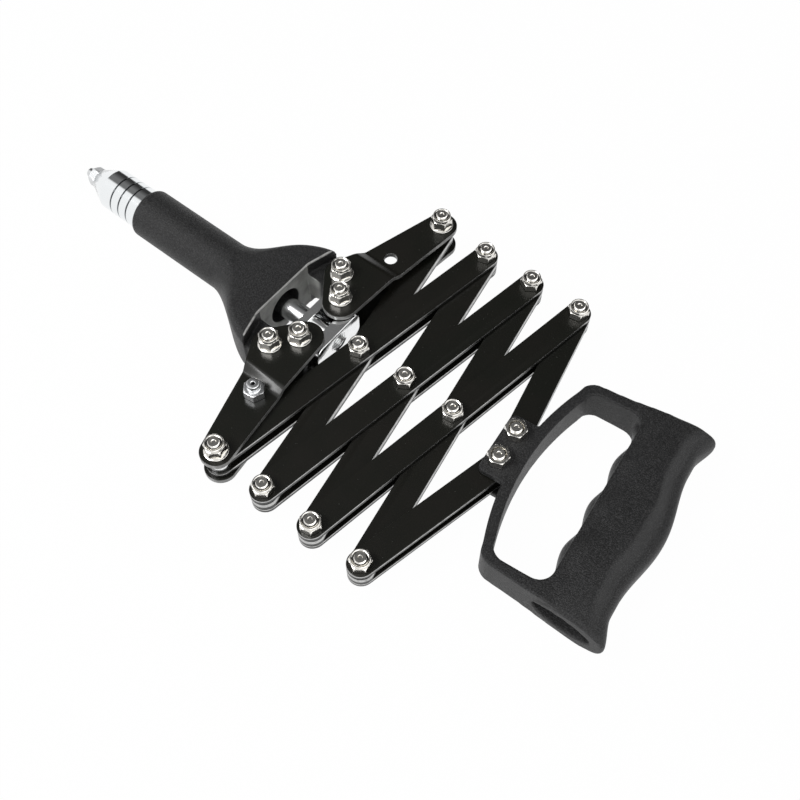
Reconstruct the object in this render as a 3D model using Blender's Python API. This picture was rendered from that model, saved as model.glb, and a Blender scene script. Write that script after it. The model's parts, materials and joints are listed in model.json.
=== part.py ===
"""Lazy tong riveter: a cast head and a cast handle joined by a scissor of riveter links.

The tool lies flat. +X runs from the nose to the handle, +Y to the right arm's side and
+Z up. The links turn about upright bolts, and everything is laid out about the middle
plane of the links, which an empty lifts to the height at which the head rests.
"""
import math

import bmesh
import bpy
from mathutils import Matrix, Vector

MM = 0.001
WELD = 0.002 * MM
CUT_OVER = 15.0 * MM
ORIGIN = Vector((0.0, 0.0, 0.0))

# Fits
SEAT_GAP = 0.3 * MM
HOLE_GAP = 0.3 * MM

# Scissor links
LINK_REACH = 180.0 * MM
LINK_WIDTH = 13.6 * MM
LINK_PITCH = 30.0 * MM
LINK_PAIRS = 3
BAR_THICK = 5.5 * MM
PLATE_THICK = 3.0 * MM

# Bolts and nuts, M6
BOLT_R = 3.0 * MM
BOLT_HEAD_R = 5.25 * MM
BOLT_HEAD_HIGH = 3.3 * MM
BOLT_HEAD_ROUND = 1.0 * MM
BOLT_PROUD = 0.9 * MM
BOLT_CHAMFER = 0.5 * MM
NUT_FLATS = 10.0 * MM
LOCK_NUT_HIGH = 6.0 * MM
FLANGE_NUT_HIGH = 8.0 * MM
PLAIN_NUT_HIGH = 5.0 * MM
NUT_FLANGE_R = 6.6 * MM
NUT_FLANGE_THICK = 1.4 * MM
NUT_COLLAR_R = 4.7 * MM
NUT_COLLAR_HIGH = 1.6 * MM
NUT_COLLAR_ROUND = 0.6 * MM
WASHER_R = 5.6 * MM

# Arms
ARM_PIVOT_BACK = 20.0 * MM
ARM_PIN_BACK = 10.6 * MM
ARM_PIN_INWARD = 12.2 * MM
ARM_HEEL_R = 9.3 * MM
ARM_TOE_R = 9.6 * MM
ARM_TOE_BACK = 8.6 * MM
ARM_TOE_INWARD = 14.3 * MM
ARM_TIP_R = 8.5 * MM
ARM_WAIST_SIDE = 43.0 * MM
ARM_WAIST_LEFT = -20.6 * MM
ARM_WAIST_RIGHT = 3.0 * MM
LOWER_WAIST_LEFT = -9.2 * MM
LOWER_WAIST_SIDE = 56.5 * MM
ARM_RISE = 2.5 * MM
ARM_RISE_RUN = 5.0 * MM
ROLLER_R = 4.3 * MM
STORE_BACK = 7.2 * MM
STORE_SIDE = 53.5 * MM
STORE_HOLE_R = 3.5 * MM

# Head casting
BARREL_R = 14.2 * MM
BARREL_FRONT = -138.0 * MM
BARREL_ROUND = 1.6 * MM
BORE_R = 10.5 * MM
FLARE_START = -77.0 * MM
FLARE_HALF_WIDTH = 36.6 * MM
PIVOT_INSET = 8.4 * MM
BLOCK_REAR = -30.6 * MM
BLOCK_STEP_X = -35.2 * MM
BLOCK_STEP_SIDE = 20.0 * MM
HEAD_HALF_HIGH = 16.0 * MM
HEAD_CORNER_R = 4.5 * MM
CAVITY_GAP = 1.7 * MM
CAVITY_FRONT = -35.4 * MM
LUG_ROOT_X = -44.0 * MM
LUG_R = 8.6 * MM
LUG_OVERLAP = 2.0 * MM
LEFT_PIVOT_PLAY = 1.35 * MM
LEFT_PIVOT_SHIFT = 1.1 * MM

# Nose
SLEEVE_R = 12.0 * MM
SLEEVE_SHOULDER = -165.5 * MM
SLEEVE_TIP = -177.2 * MM
SLEEVE_TIP_R = 6.3 * MM
SPIGOT_LENGTH = 14.5 * MM
SLEEVE_BORE_R = 8.6 * MM
SLEEVE_BORE_DEPTH = 13.0 * MM
GROOVES = 3
GROOVE_FIRST = -157.0 * MM
GROOVE_PITCH = 6.0 * MM
GROOVE_DEPTH = 0.55 * MM
GROOVE_WIDE = 1.0 * MM
NOSEPIECE_BOSS_R = 3.3 * MM
NOSEPIECE_BOSS_LONG = 4.3 * MM
NOSEPIECE_HEX_LONG = 5.0 * MM
NOSEPIECE_SHANK_R = 3.2 * MM
NOSEPIECE_SHANK_LONG = 16.0 * MM
SPARE_SHANK_LONG = 7.0 * MM
NOSEPIECE_HOLE_R = 1.6 * MM
SPARE_HOLE_R = 1.0 * MM

# Cross-head and jaws
SLOT_WIDE = 9.9 * MM
FLANGE_FRONT_THICK = 4.8 * MM
FLANGE_REAR_THICK = 7.2 * MM
FLANGE_LAP = 0.5 * MM
FLANGE_HALF_HIGH = 8.3 * MM
FLANGE_CORNER_R = 5.0 * MM
NECK_R = 6.0 * MM
ROD_R = 6.0 * MM
ROD_BORE_R = 2.5 * MM
ROD_SEAT = 3.4 * MM
ROD_FRONT = -124.0 * MM
EJECT_R = 5.6 * MM
EJECT_DEEP = 5.0 * MM
CASE_R = 8.0 * MM
CASE_FRONT = -150.0 * MM
CASE_REAR = -112.0 * MM
CASE_MOUTH_R = 3.6 * MM
CASE_CONE_LONG = 11.0 * MM
CASE_CHAMFER = 1.0 * MM
JAWS = 3
JAW_ARC = math.radians(104)
JAW_BITE_R = 1.2 * MM
PUSHER_LONG = 7.0 * MM
PUSHER_BORE_R = 2.2 * MM
SPRING_WIRE_R = 0.55 * MM
SPRING_R = 4.6 * MM
SPRING_TURNS = 4
ROD_NUT_FLATS = 17.0 * MM
ROD_NUT_THICK = 5.0 * MM

# Handle, laid out about its own middle; its link bolts lie a little to +Y of that
HANDLE_TILT = math.radians(6.2)
HANDLE_BOLTS = 16.9 * MM
HANDLE_BACK = 17.828 * MM
HANDLE_PLAY = 0.9 * MM
LUG_ASIDE = 1.2 * MM
FRAME_HALF_THICK = 10.4 * MM
FRAME_FRONT = 6.4 * MM
FRAME_FRONT_CURVE = 128.0 * MM
FRAME_END_SIDE = 55.7 * MM
FRAME_END_X = 24.0 * MM
FRAME_END_SLOPE = 0.09
FRAME_CORNER_R = 9.0 * MM
FRAME_SINK = 4.0 * MM
WALL_STEP = 0.4 * MM
LOOP_FRONT = 12.3 * MM
LOOP_FRONT_CURVE = 133.0 * MM
LOOP_SIDE = 50.7 * MM
LOOP_BACK = 49.6 * MM
LOOP_CORNER_R = 8.0 * MM
LOOP_BACK_CORNER_R = 7.5 * MM
LUG_FRONT = -6.5 * MM
LUG_SIDE = 17.8 * MM
LUG_CORNER_R = 3.5 * MM
LUG_SLOT_DEEP = 7.4 * MM
GRIP_FRONT = 47.9 * MM
GRIP_BACK = 83.2 * MM
GRIP_BELLY = 2.6 * MM
GRIP_BELLY_LONG = 74.0 * MM
GRIP_HEEL = 4.4 * MM
GRIP_HEEL_START = 44.0 * MM
GRIP_HEEL_RUN = 16.0 * MM
GRIP_HALF_THICK = 15.5 * MM
GRIP_END_HALF_THICK = 12.2 * MM
FINGER_PITCH = 27.0 * MM
FINGER_DEPTH = 1.35 * MM
FINGER_MIDDLE = 11.5 * MM
GRIP_ROUND = 1.8 * MM
GRIP_FULL = 0.975
CORE_X = 62.3 * MM
CORE_HALF_LONG = 15.2 * MM
CORE_HALF_HIGH = 6.0 * MM
CORE_DEEP = 38.0 * MM

# Facets
ROUND = 12
ROUND_FINE = 20
QUARTER_POINTS = 7

# Levels above the links' middle plane
BAR_TOP = BAR_THICK / 2
LINK_PLATE_LOW = BAR_TOP + SEAT_GAP
LINK_PLATE_TOP = LINK_PLATE_LOW + PLATE_THICK
ARM_TIP_LOW = LINK_PLATE_TOP + SEAT_GAP
ARM_HEEL_LOW = ARM_TIP_LOW + ARM_RISE
ARM_TIP_TOP = ARM_TIP_LOW + PLATE_THICK
ARM_HEEL_TOP = ARM_HEEL_LOW + PLATE_THICK
HEAD_LUG_HALF_HIGH = ARM_HEEL_LOW - SEAT_GAP

# Across the tool: the arms turn inside the block's sides, and their toes set the cross-head
ARM_PIVOT_SIDE = FLARE_HALF_WIDTH - PIVOT_INSET
ARM_PIN_SIDE = ARM_PIVOT_SIDE - ARM_PIN_INWARD
ARM_TOE_SIDE = ARM_PIVOT_SIDE - ARM_TOE_INWARD
FLANGE_SIDE = ARM_PIN_SIDE + FLANGE_LAP
CAVITY_SIDE = FLANGE_SIDE + CAVITY_GAP

# Scissor at rest
HALF_REACH = LINK_REACH / 2
LINK_ANGLE = math.acos(LINK_PITCH / LINK_REACH)
TIP_SIDE = HALF_REACH * math.sin(LINK_ANGLE)
LAST_TIP_X = LINK_PAIRS * LINK_PITCH
HOLE_R = BOLT_R + HOLE_GAP
SLOT_FRONT = -ARM_PIN_BACK - SLOT_WIDE / 2
SLOT_REAR = -ARM_PIN_BACK + SLOT_WIDE / 2


def clear_scene():
    for obj in list(bpy.data.objects):
        bpy.data.objects.remove(obj, do_unlink=True)


def finish(name, colour, roughness, metallic):
    """A material with one Principled shader."""
    mat = bpy.data.materials.new(name)
    mat.use_nodes = True
    shader = mat.node_tree.nodes["Principled BSDF"]
    shader.inputs["Base Color"].default_value = (*colour, 1.0)
    shader.inputs["Roughness"].default_value = roughness
    shader.inputs["Metallic"].default_value = metallic
    mat.diffuse_color = (*colour, 1.0)
    return mat


def body(name, parent, place=ORIGIN, turn=0.0):
    """An empty on a body's joint axis, given in its parent's frame."""
    empty = bpy.data.objects.new(name, None)
    bpy.context.collection.objects.link(empty)
    empty.parent = parent
    empty.location = place
    empty.rotation_euler = (0.0, 0.0, turn)
    return empty


def closed_mesh(name, solid):
    """A mesh from a closed solid, with its faces turned outwards."""
    bmesh.ops.remove_doubles(solid, verts=solid.verts, dist=WELD)
    bmesh.ops.recalc_face_normals(solid, faces=solid.faces)
    if solid.calc_volume(signed=True) < 0:
        bmesh.ops.reverse_faces(solid, faces=solid.faces)
    mesh = bpy.data.meshes.new(name)
    solid.to_mesh(mesh)
    solid.free()
    return mesh


def piece(name, solid, carrier, mat):
    """One named object from a closed solid in its carrier's frame."""
    mesh = closed_mesh(name, solid)
    mesh.materials.append(mat)
    mesh.shade_smooth()
    mesh.set_sharp_from_angle(angle=math.radians(35))
    obj = bpy.data.objects.new(name, mesh)
    bpy.context.collection.objects.link(obj)
    obj.parent = carrier
    return obj


def combine(base, tool, operation):
    """The exact Boolean of two closed solids."""
    objects = []
    for solid in (base, tool):
        obj = bpy.data.objects.new("operand", closed_mesh("operand", solid))
        bpy.context.collection.objects.link(obj)
        objects.append(obj)
    target, cutter = objects
    boolean = target.modifiers.new("boolean", "BOOLEAN")
    boolean.operation = operation
    boolean.solver = "EXACT"
    boolean.object = cutter
    evaluated = target.evaluated_get(bpy.context.evaluated_depsgraph_get())
    result = bmesh.new()
    result.from_mesh(evaluated.to_mesh())
    evaluated.to_mesh_clear()
    for obj in objects:
        mesh = obj.data
        bpy.data.objects.remove(obj, do_unlink=True)
        bpy.data.meshes.remove(mesh)
    bmesh.ops.remove_doubles(result, verts=result.verts, dist=WELD)
    bmesh.ops.dissolve_degenerate(result, edges=result.edges, dist=WELD)
    return result


def smooth(t):
    """0 to 1 with level ends."""
    t = min(max(t, 0.0), 1.0)
    return t * t * (3.0 - 2.0 * t)


def arc(centre, radius, start, end, steps):
    """Points on an arc in the plane, both ends included, with angles in degrees."""
    points = []
    for i in range(steps + 1):
        a = math.radians(start + (end - start) * i / steps)
        points.append(Vector((centre[0] + radius * math.cos(a), centre[1] + radius * math.sin(a))))
    return points


def circle(centre, radius, steps=ROUND):
    """A closed circle whose flats keep the full radius, for a hole."""
    reach = radius / math.cos(math.pi / steps)
    return arc(centre, reach, 0.0, 360.0 * (steps - 1) / steps, steps - 1)


def hull(points):
    """The convex outline of points in the plane, counter-clockwise."""
    ordered = sorted((round(p[0], 9), round(p[1], 9)) for p in points)

    def half(run):
        chain = []
        for p in run:
            while len(chain) > 1:
                (ax, ay), (bx, by) = chain[-2], chain[-1]
                if (bx - ax) * (p[1] - ay) - (by - ay) * (p[0] - ax) > 0:
                    break
                chain.pop()
            chain.append(p)
        return chain[:-1]

    return [Vector(p) for p in half(ordered) + half(ordered[::-1])]


def plate(outline, holes, low, high):
    """An upright-walled plate with holes, from outlines in the plane."""
    solid = bmesh.new()
    edges = []
    for loop in [outline] + holes:
        verts = [solid.verts.new((p[0], p[1], low)) for p in loop]
        edges += [solid.edges.new((verts[i - 1], verts[i])) for i in range(len(verts))]
    bmesh.ops.triangle_fill(solid, edges=edges, use_beauty=True, use_dissolve=False)
    raised = bmesh.ops.extrude_face_region(solid, geom=list(solid.faces))
    lifted = [g for g in raised["geom"] if isinstance(g, bmesh.types.BMVert)]
    bmesh.ops.translate(solid, verts=lifted, vec=(0.0, 0.0, high - low))
    return solid


def loft(rings, closed=False):
    """A solid through rings of equally many points; a closed loft joins its ends."""
    solid = bmesh.new()
    rows = [[solid.verts.new(p) for p in ring] for ring in rings]
    pairs = list(zip(rows, rows[1:]))
    if closed:
        pairs.append((rows[-1], rows[0]))
    for one, two in pairs:
        for i in range(len(one)):
            solid.faces.new((one[i - 1], one[i], two[i], two[i - 1]))
    if not closed:
        solid.faces.new(rows[0])
        solid.faces.new(rows[-1])
    return solid


def ring_z(centre, radius, z, steps=ROUND):
    return [Vector((p[0], p[1], z)) for p in arc(centre, radius, 0.0, 360.0 - 360.0 / steps, steps - 1)]


def hex_ring_z(centre, flats, z):
    """A hexagon as twelve points: its corners and the middles of its flats."""
    points = []
    for i in range(ROUND):
        radius = flats / 2 if i % 2 else flats / 2 / math.cos(math.pi / 6)
        a = math.tau * i / ROUND
        points.append(Vector((centre[0] + radius * math.cos(a), centre[1] + radius * math.sin(a), z)))
    return points


def along_x(rings):
    """Turns rings made about +Z so that they run along +X."""
    return [[Vector((p.z, p.y, -p.x)) for p in ring] for ring in rings]


def turned(profile, steps=ROUND, bored=True):
    """A piece turned about +X from (x, radius) points; a bored profile is a closed loop."""
    rings = [ring_z(ORIGIN, radius, x, steps) for x, radius in profile]
    return loft(along_x(rings), closed=bored)


def bore_reach(radius, steps=ROUND):
    """The corner radius of a faceted bore whose flats keep the full radius."""
    return radius / math.cos(math.pi / steps)


def bolt(centre, grip_half, nut_high, collared=True, flanged=False):
    """A button-headed bolt with its nut run on: head below, bolt end standing out above.

    A lock nut has a collar, a flange nut a skirt as well, and a plain nut neither.
    """
    under_head = -grip_half - SEAT_GAP
    low = under_head - BOLT_HEAD_HIGH
    seat = grip_half + SEAT_GAP
    top = seat + nut_high
    end = top + BOLT_PROUD
    rings = [
        ring_z(centre, BOLT_HEAD_R - 2 * BOLT_HEAD_ROUND, low),
        ring_z(centre, BOLT_HEAD_R, low + 2 * BOLT_HEAD_ROUND),
        ring_z(centre, BOLT_HEAD_R, under_head),
        ring_z(centre, BOLT_R, under_head),
        ring_z(centre, BOLT_R, seat),
    ]
    base = seat
    if flanged:
        rings.append(ring_z(centre, NUT_FLANGE_R, seat))
        rings.append(ring_z(centre, NUT_FLANGE_R, seat + NUT_FLANGE_THICK * 0.5))
        base = seat + NUT_FLANGE_THICK
    rings.append(hex_ring_z(centre, NUT_FLATS, base))
    if collared:
        rings.append(hex_ring_z(centre, NUT_FLATS, top - NUT_COLLAR_HIGH))
        rings.append(ring_z(centre, NUT_COLLAR_R, top - NUT_COLLAR_HIGH))
        rings.append(ring_z(centre, NUT_COLLAR_R - NUT_COLLAR_ROUND, top))
    else:
        rings.append(hex_ring_z(centre, NUT_FLATS, top))
    rings.append(ring_z(centre, BOLT_R, top))
    rings.append(ring_z(centre, BOLT_R, end - BOLT_CHAMFER))
    rings.append(ring_z(centre, BOLT_R - BOLT_CHAMFER, end))
    return loft(rings)


def tube(centre, radius, bore, low, high):
    rings = [
        ring_z(centre, bore_reach(bore), low),
        ring_z(centre, radius, low),
        ring_z(centre, radius, high),
        ring_z(centre, bore_reach(bore), high),
    ]
    return loft(rings, closed=True)


def link_outline(first, last):
    """A straight link with round ends, along +X."""
    half = LINK_WIDTH / 2
    return arc((last, 0.0), half, -90, 90, 8) + arc((first, 0.0), half, 90, 270, 8)


def link_plates(name, first, last, holes, carrier, mat):
    """The upper and lower plates of an outer link."""
    for side, sign in (("top", 1), ("bottom", -1)):
        low, high = sorted((sign * LINK_PLATE_LOW, sign * LINK_PLATE_TOP))
        loops = [circle((x, 0.0), radius) for x, radius in holes]
        solid = plate(link_outline(first, last), loops, low, high)
        piece(name + "_" + side + "_plate", solid, carrier, mat)


def link_bar(name, first, last, holes, carrier, mat):
    """The single thick bar of an inner link."""
    loops = [circle((x, 0.0), HOLE_R) for x in holes]
    solid = plate(link_outline(first, last), loops, -BAR_TOP, BAR_TOP)
    piece(name, solid, carrier, mat)


def link_bolts(name, spots, carrier, mats):
    """The bolts with lock nuts that an outer link carries, by where they are on it."""
    for spot, x in spots.items():
        solid = bolt((x, 0.0), LINK_PLATE_TOP, LOCK_NUT_HIGH)
        piece(name + "_" + spot + "_bolt", solid, carrier, mats["plated"])


def flare(x):
    """How far the head has opened from its barrel to its block at x, from 0 to 1."""
    t = min(max((x - FLARE_START) / (BLOCK_REAR - FLARE_START), 0.0), 1.0)
    return 0.8 * smooth(t) + 0.2 * t


def head_ring(x, inset=0.0):
    """The head's cross-section: a circle on the barrel, a rounded slab on the block."""
    opened = flare(x)
    wide = BARREL_R + (FLARE_HALF_WIDTH - BARREL_R) * opened - inset
    high = BARREL_R + (HEAD_HALF_HIGH - BARREL_R) * smooth(opened * 1.6) - inset
    corner = BARREL_R + (HEAD_CORNER_R - BARREL_R) * smooth(opened * 1.3) - inset
    ring = []
    for quarter, (side, up) in enumerate(((1, 1), (-1, 1), (-1, -1), (1, -1))):
        for i in range(QUARTER_POINTS):
            a = math.radians(90 * (quarter + i / (QUARTER_POINTS - 1)))
            y = side * (wide - corner) + corner * math.cos(a)
            z = up * (high - corner) + corner * math.sin(a)
            ring.append(Vector((x, y, z)))
    return ring


def head_lug_outline(side):
    """The plan of one lug that an arm turns on, from inside the block to its round end."""
    points = [
        (LUG_ROOT_X, CAVITY_SIDE - LUG_OVERLAP),
        (-ARM_PIVOT_BACK - LUG_R, CAVITY_SIDE - LUG_OVERLAP),
        (LUG_ROOT_X, ARM_PIVOT_SIDE),
        (BLOCK_STEP_X, FLARE_HALF_WIDTH * 0.95),
    ]
    points += arc((-ARM_PIVOT_BACK, ARM_PIVOT_SIDE), LUG_R, -90, 100, 10)
    return [Vector((p.x, side * p.y)) for p in hull(points)]


def step_cutter(sign):
    """The space above or below the lugs, behind the block's slanted step."""
    far = FLARE_HALF_WIDTH + CUT_OVER
    rear = CUT_OVER
    slant = BLOCK_STEP_X + (BLOCK_REAR - BLOCK_STEP_X) * (far - BLOCK_STEP_SIDE) / (
        FLARE_HALF_WIDTH - BLOCK_STEP_SIDE)
    outline = [
        (BLOCK_STEP_X, BLOCK_STEP_SIDE),
        (BLOCK_STEP_X, -BLOCK_STEP_SIDE),
        (slant, -far),
        (rear, -far),
        (rear, far),
        (slant, far),
    ]
    low, high = sorted((sign * HEAD_LUG_HALF_HIGH, sign * (HEAD_HALF_HIGH + CUT_OVER)))
    return plate([Vector(p) for p in outline], [], low, high)


def slotted_hole(centre, radius, play):
    """A hole drawn out along Y by its play each way."""
    reach = bore_reach(radius)
    top = arc((centre[0], centre[1] + play), reach, 0, 180, 6)
    bottom = arc((centre[0], centre[1] - play), reach, 180, 360, 6)
    return top + bottom


def head_casting(carrier, mat):
    """The cast head: barrel, flare, block, cavity for the cross-head and two lugs."""
    stations = [
        (BARREL_FRONT, BARREL_ROUND),
        (BARREL_FRONT + BARREL_ROUND * 0.4, BARREL_ROUND * 0.3),
        (BARREL_FRONT + BARREL_ROUND, 0.0),
    ]
    steps = 9
    run = BLOCK_REAR - FLARE_START
    stations += [(FLARE_START + run * i / steps, 0.0) for i in range(steps + 1)]
    solid = loft([head_ring(x, inset) for x, inset in stations])
    for sign in (1, -1):
        solid = combine(solid, step_cutter(sign), "DIFFERENCE")
    for side in (1, -1):
        lug = plate(head_lug_outline(side), [], -HEAD_LUG_HALF_HIGH, HEAD_LUG_HALF_HIGH)
        solid = combine(solid, lug, "UNION")
        hole = circle((-ARM_PIVOT_BACK, ARM_PIVOT_SIDE), HOLE_R)
        if side < 0:
            centre = (-ARM_PIVOT_BACK, -ARM_PIVOT_SIDE - LEFT_PIVOT_SHIFT)
            hole = slotted_hole(centre, HOLE_R, LEFT_PIVOT_PLAY)
        solid = combine(solid, plate(hole, [], -HEAD_HALF_HIGH, HEAD_HALF_HIGH), "DIFFERENCE")
    far = HEAD_HALF_HIGH + CUT_OVER
    corners = (
        (CAVITY_FRONT, -CAVITY_SIDE),
        (far, -CAVITY_SIDE),
        (far, CAVITY_SIDE),
        (CAVITY_FRONT, CAVITY_SIDE),
    )
    cavity = [Vector(p) for p in corners]
    solid = combine(solid, plate(cavity, [], -far, far), "DIFFERENCE")
    steps = 4 * QUARTER_POINTS
    reach = bore_reach(BORE_R, steps)
    bore = turned([(BARREL_FRONT - far, reach), (far, reach)], steps, bored=False)
    solid = combine(solid, bore, "DIFFERENCE")
    piece("head_casting", solid, carrier, mat)


def nose_sleeve(carrier, mat):
    """The turned nose sleeve, screwed into the barrel: grooved, with a tapered tip."""
    rear = BARREL_FRONT - SEAT_GAP
    spigot = BORE_R - SEAT_GAP
    profile = [(SLEEVE_TIP, SLEEVE_TIP_R), (SLEEVE_SHOULDER, SLEEVE_R)]
    for i in range(GROOVES):
        middle = GROOVE_FIRST + i * GROOVE_PITCH
        profile.append((middle - GROOVE_WIDE / 2, SLEEVE_R))
        profile.append((middle, SLEEVE_R - GROOVE_DEPTH))
        profile.append((middle + GROOVE_WIDE / 2, SLEEVE_R))
    bore = bore_reach(SLEEVE_BORE_R, ROUND_FINE)
    neck = bore_reach(NOSEPIECE_SHANK_R + HOLE_GAP, ROUND_FINE)
    chamber = SLEEVE_TIP + SLEEVE_BORE_DEPTH
    profile += [
        (rear, SLEEVE_R),
        (rear, spigot),
        (rear + SPIGOT_LENGTH, spigot),
        (rear + SPIGOT_LENGTH, bore),
        (chamber, bore),
        (chamber - (SLEEVE_BORE_R - NOSEPIECE_SHANK_R) * 0.5, neck),
        (SLEEVE_TIP, neck),
    ]
    piece("nose_sleeve", turned(profile, ROUND_FINE), carrier, mat)


def nosepiece_rings(seat, way, hole_r, shank_long):
    """A nosepiece as rings about +Z: boss, hexagon and threaded shank, seated at seat."""
    hex_front = seat + way * NOSEPIECE_HEX_LONG
    tip = hex_front + way * NOSEPIECE_BOSS_LONG
    end = seat - way * shank_long
    bore = bore_reach(hole_r)
    return [
        ring_z(ORIGIN, bore, tip),
        ring_z(ORIGIN, NOSEPIECE_BOSS_R, tip),
        ring_z(ORIGIN, NOSEPIECE_BOSS_R, hex_front),
        hex_ring_z(ORIGIN, NUT_FLATS, hex_front),
        hex_ring_z(ORIGIN, NUT_FLATS, seat),
        ring_z(ORIGIN, NOSEPIECE_SHANK_R, seat),
        ring_z(ORIGIN, NOSEPIECE_SHANK_R, end),
        ring_z(ORIGIN, bore, end),
    ]


def rounded_slab_ring(x, side, half_high, corner):
    ring = []
    for quarter, (a, b) in enumerate(((1, 1), (-1, 1), (-1, -1), (1, -1))):
        centre = (a * (side - corner), b * (half_high - corner))
        ring += [Vector((x, p[0], p[1])) for p in arc(centre, corner, 90 * quarter, 90 * quarter + 90, 4)]
    return ring


def crosshead(carrier, mat):
    """The cross-head: two flanges with the rollers' slot between them, on a round neck."""
    flanges = (
        (SLOT_FRONT - FLANGE_FRONT_THICK, SLOT_FRONT),
        (SLOT_REAR, SLOT_REAR + FLANGE_REAR_THICK),
    )
    neck_reach = bore_reach(NECK_R, ROUND_FINE)
    sunk = 1.0 * MM
    neck = [(SLOT_FRONT - sunk, neck_reach), (SLOT_REAR + sunk, neck_reach)]
    solid = turned(neck, ROUND_FINE, bored=False)
    for front, rear in flanges:
        rings = [rounded_slab_ring(x, FLANGE_SIDE, FLANGE_HALF_HIGH, FLANGE_CORNER_R) for x in (front, rear)]
        solid = combine(solid, loft(rings), "UNION")
    front, rear = flanges[0][0], flanges[1][1]
    bore = bore_reach(ROD_BORE_R, ROUND_FINE)
    seat = bore_reach(ROD_R + SEAT_GAP, ROUND_FINE)
    eject = bore_reach(EJECT_R, ROUND_FINE)
    profile = [
        (front - CUT_OVER, seat),
        (front + ROD_SEAT, seat),
        (front + ROD_SEAT, bore),
        (rear - EJECT_DEEP, bore),
        (rear - EJECT_DEEP, eject),
        (rear + CUT_OVER, eject),
    ]
    solid = combine(solid, turned(profile, ROUND_FINE, bored=False), "DIFFERENCE")
    piece("crosshead", solid, carrier, mat)


def cone_r(x):
    """The inner radius of the jaw case at x."""
    t = (x - CASE_FRONT) / CASE_CONE_LONG
    return CASE_MOUTH_R + (ROD_R + SEAT_GAP - CASE_MOUTH_R) * min(t, 1.0)


def jaw_case(carrier, mat):
    full = CASE_FRONT + CASE_CONE_LONG
    inner = bore_reach(ROD_R + SEAT_GAP, ROUND_FINE)
    profile = [
        (CASE_FRONT, bore_reach(CASE_MOUTH_R, ROUND_FINE)),
        (CASE_FRONT, CASE_R - CASE_CHAMFER),
        (CASE_FRONT + CASE_CHAMFER, CASE_R),
        (CASE_REAR, CASE_R),
        (CASE_REAR, inner),
        (full, inner),
    ]
    piece("jaw_case", turned(profile, ROUND_FINE), carrier, mat)


def jaws(carrier, mat):
    """Three wedge jaws on the case's cone."""
    front = CASE_FRONT + CASE_CHAMFER / 2
    rear = CASE_FRONT + CASE_CONE_LONG
    for i in range(JAWS):
        middle = math.tau * i / JAWS
        rings = []
        for x in (front, rear):
            outer = cone_r(x) - SEAT_GAP
            ring = []
            for k in range(6):
                a = middle - JAW_ARC / 2 + JAW_ARC * k / 5
                ring.append(Vector((x, outer * math.cos(a), outer * math.sin(a))))
            for k in range(6):
                a = middle + JAW_ARC / 2 - JAW_ARC * k / 5
                ring.append(Vector((x, JAW_BITE_R * math.cos(a), JAW_BITE_R * math.sin(a))))
            rings.append(ring)
        piece("jaw_%d" % (i + 1), loft(rings), carrier, mat)
    return rear


def jaw_spring(front, rear, carrier, mat):
    """The coil that keeps the jaws forward in their case."""
    steps = 8
    wire_steps = 5
    count = SPRING_TURNS * steps
    low = front + SPRING_WIRE_R
    high = rear - SPRING_WIRE_R
    rings = []
    for i in range(count + 1):
        a = math.tau * i / steps
        centre = Vector((low + (high - low) * i / count, SPRING_R * math.cos(a), SPRING_R * math.sin(a)))
        out = Vector((0.0, math.cos(a), math.sin(a)))
        ring = []
        for k in range(wire_steps):
            b = math.tau * k / wire_steps
            ring.append(centre + SPRING_WIRE_R * (math.cos(b) * out + math.sin(b) * Vector((1, 0, 0))))
        rings.append(ring)
    piece("jaw_spring", loft(rings), carrier, mat)


def pulling_gear(carrier, mats):
    """What the cross-head pulls: the hollow rod, its lock nut, the jaw case and the jaws."""
    rod_rear = SLOT_FRONT - FLANGE_FRONT_THICK + ROD_SEAT - SEAT_GAP
    bore = bore_reach(ROD_BORE_R, ROUND_FINE)
    rod = [(ROD_FRONT, bore), (ROD_FRONT, ROD_R), (rod_rear, ROD_R), (rod_rear, bore)]
    piece("pull_rod", turned(rod, ROUND_FINE), carrier, mats["bright"])
    nut_bore = bore_reach(ROD_R + SEAT_GAP)
    nut_front = CASE_REAR + SEAT_GAP
    nut_rear = nut_front + ROD_NUT_THICK
    rings = [
        ring_z(ORIGIN, nut_bore, nut_front),
        hex_ring_z(ORIGIN, ROD_NUT_FLATS, nut_front),
        hex_ring_z(ORIGIN, ROD_NUT_FLATS, nut_rear),
        ring_z(ORIGIN, nut_bore, nut_rear),
    ]
    piece("rod_lock_nut", loft(along_x(rings), closed=True), carrier, mats["plated"])
    jaw_case(carrier, mats["steel"])
    jaw_set = body("jaw_set", carrier)
    jaws_rear = jaws(jaw_set, mats["steel"])
    pusher_front = jaws_rear + SEAT_GAP
    pusher_rear = pusher_front + PUSHER_LONG
    pusher_bore = bore_reach(PUSHER_BORE_R, ROUND_FINE)
    pusher = [(pusher_front, pusher_bore), (pusher_front, ROD_R - SEAT_GAP), (pusher_rear, ROD_R - SEAT_GAP),
              (pusher_rear, pusher_bore)]
    piece("jaw_pusher", turned(pusher, ROUND_FINE), jaw_set, mats["steel"])
    jaw_spring(pusher_rear + SEAT_GAP, ROD_FRONT - SEAT_GAP, carrier, mats["steel"])


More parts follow.
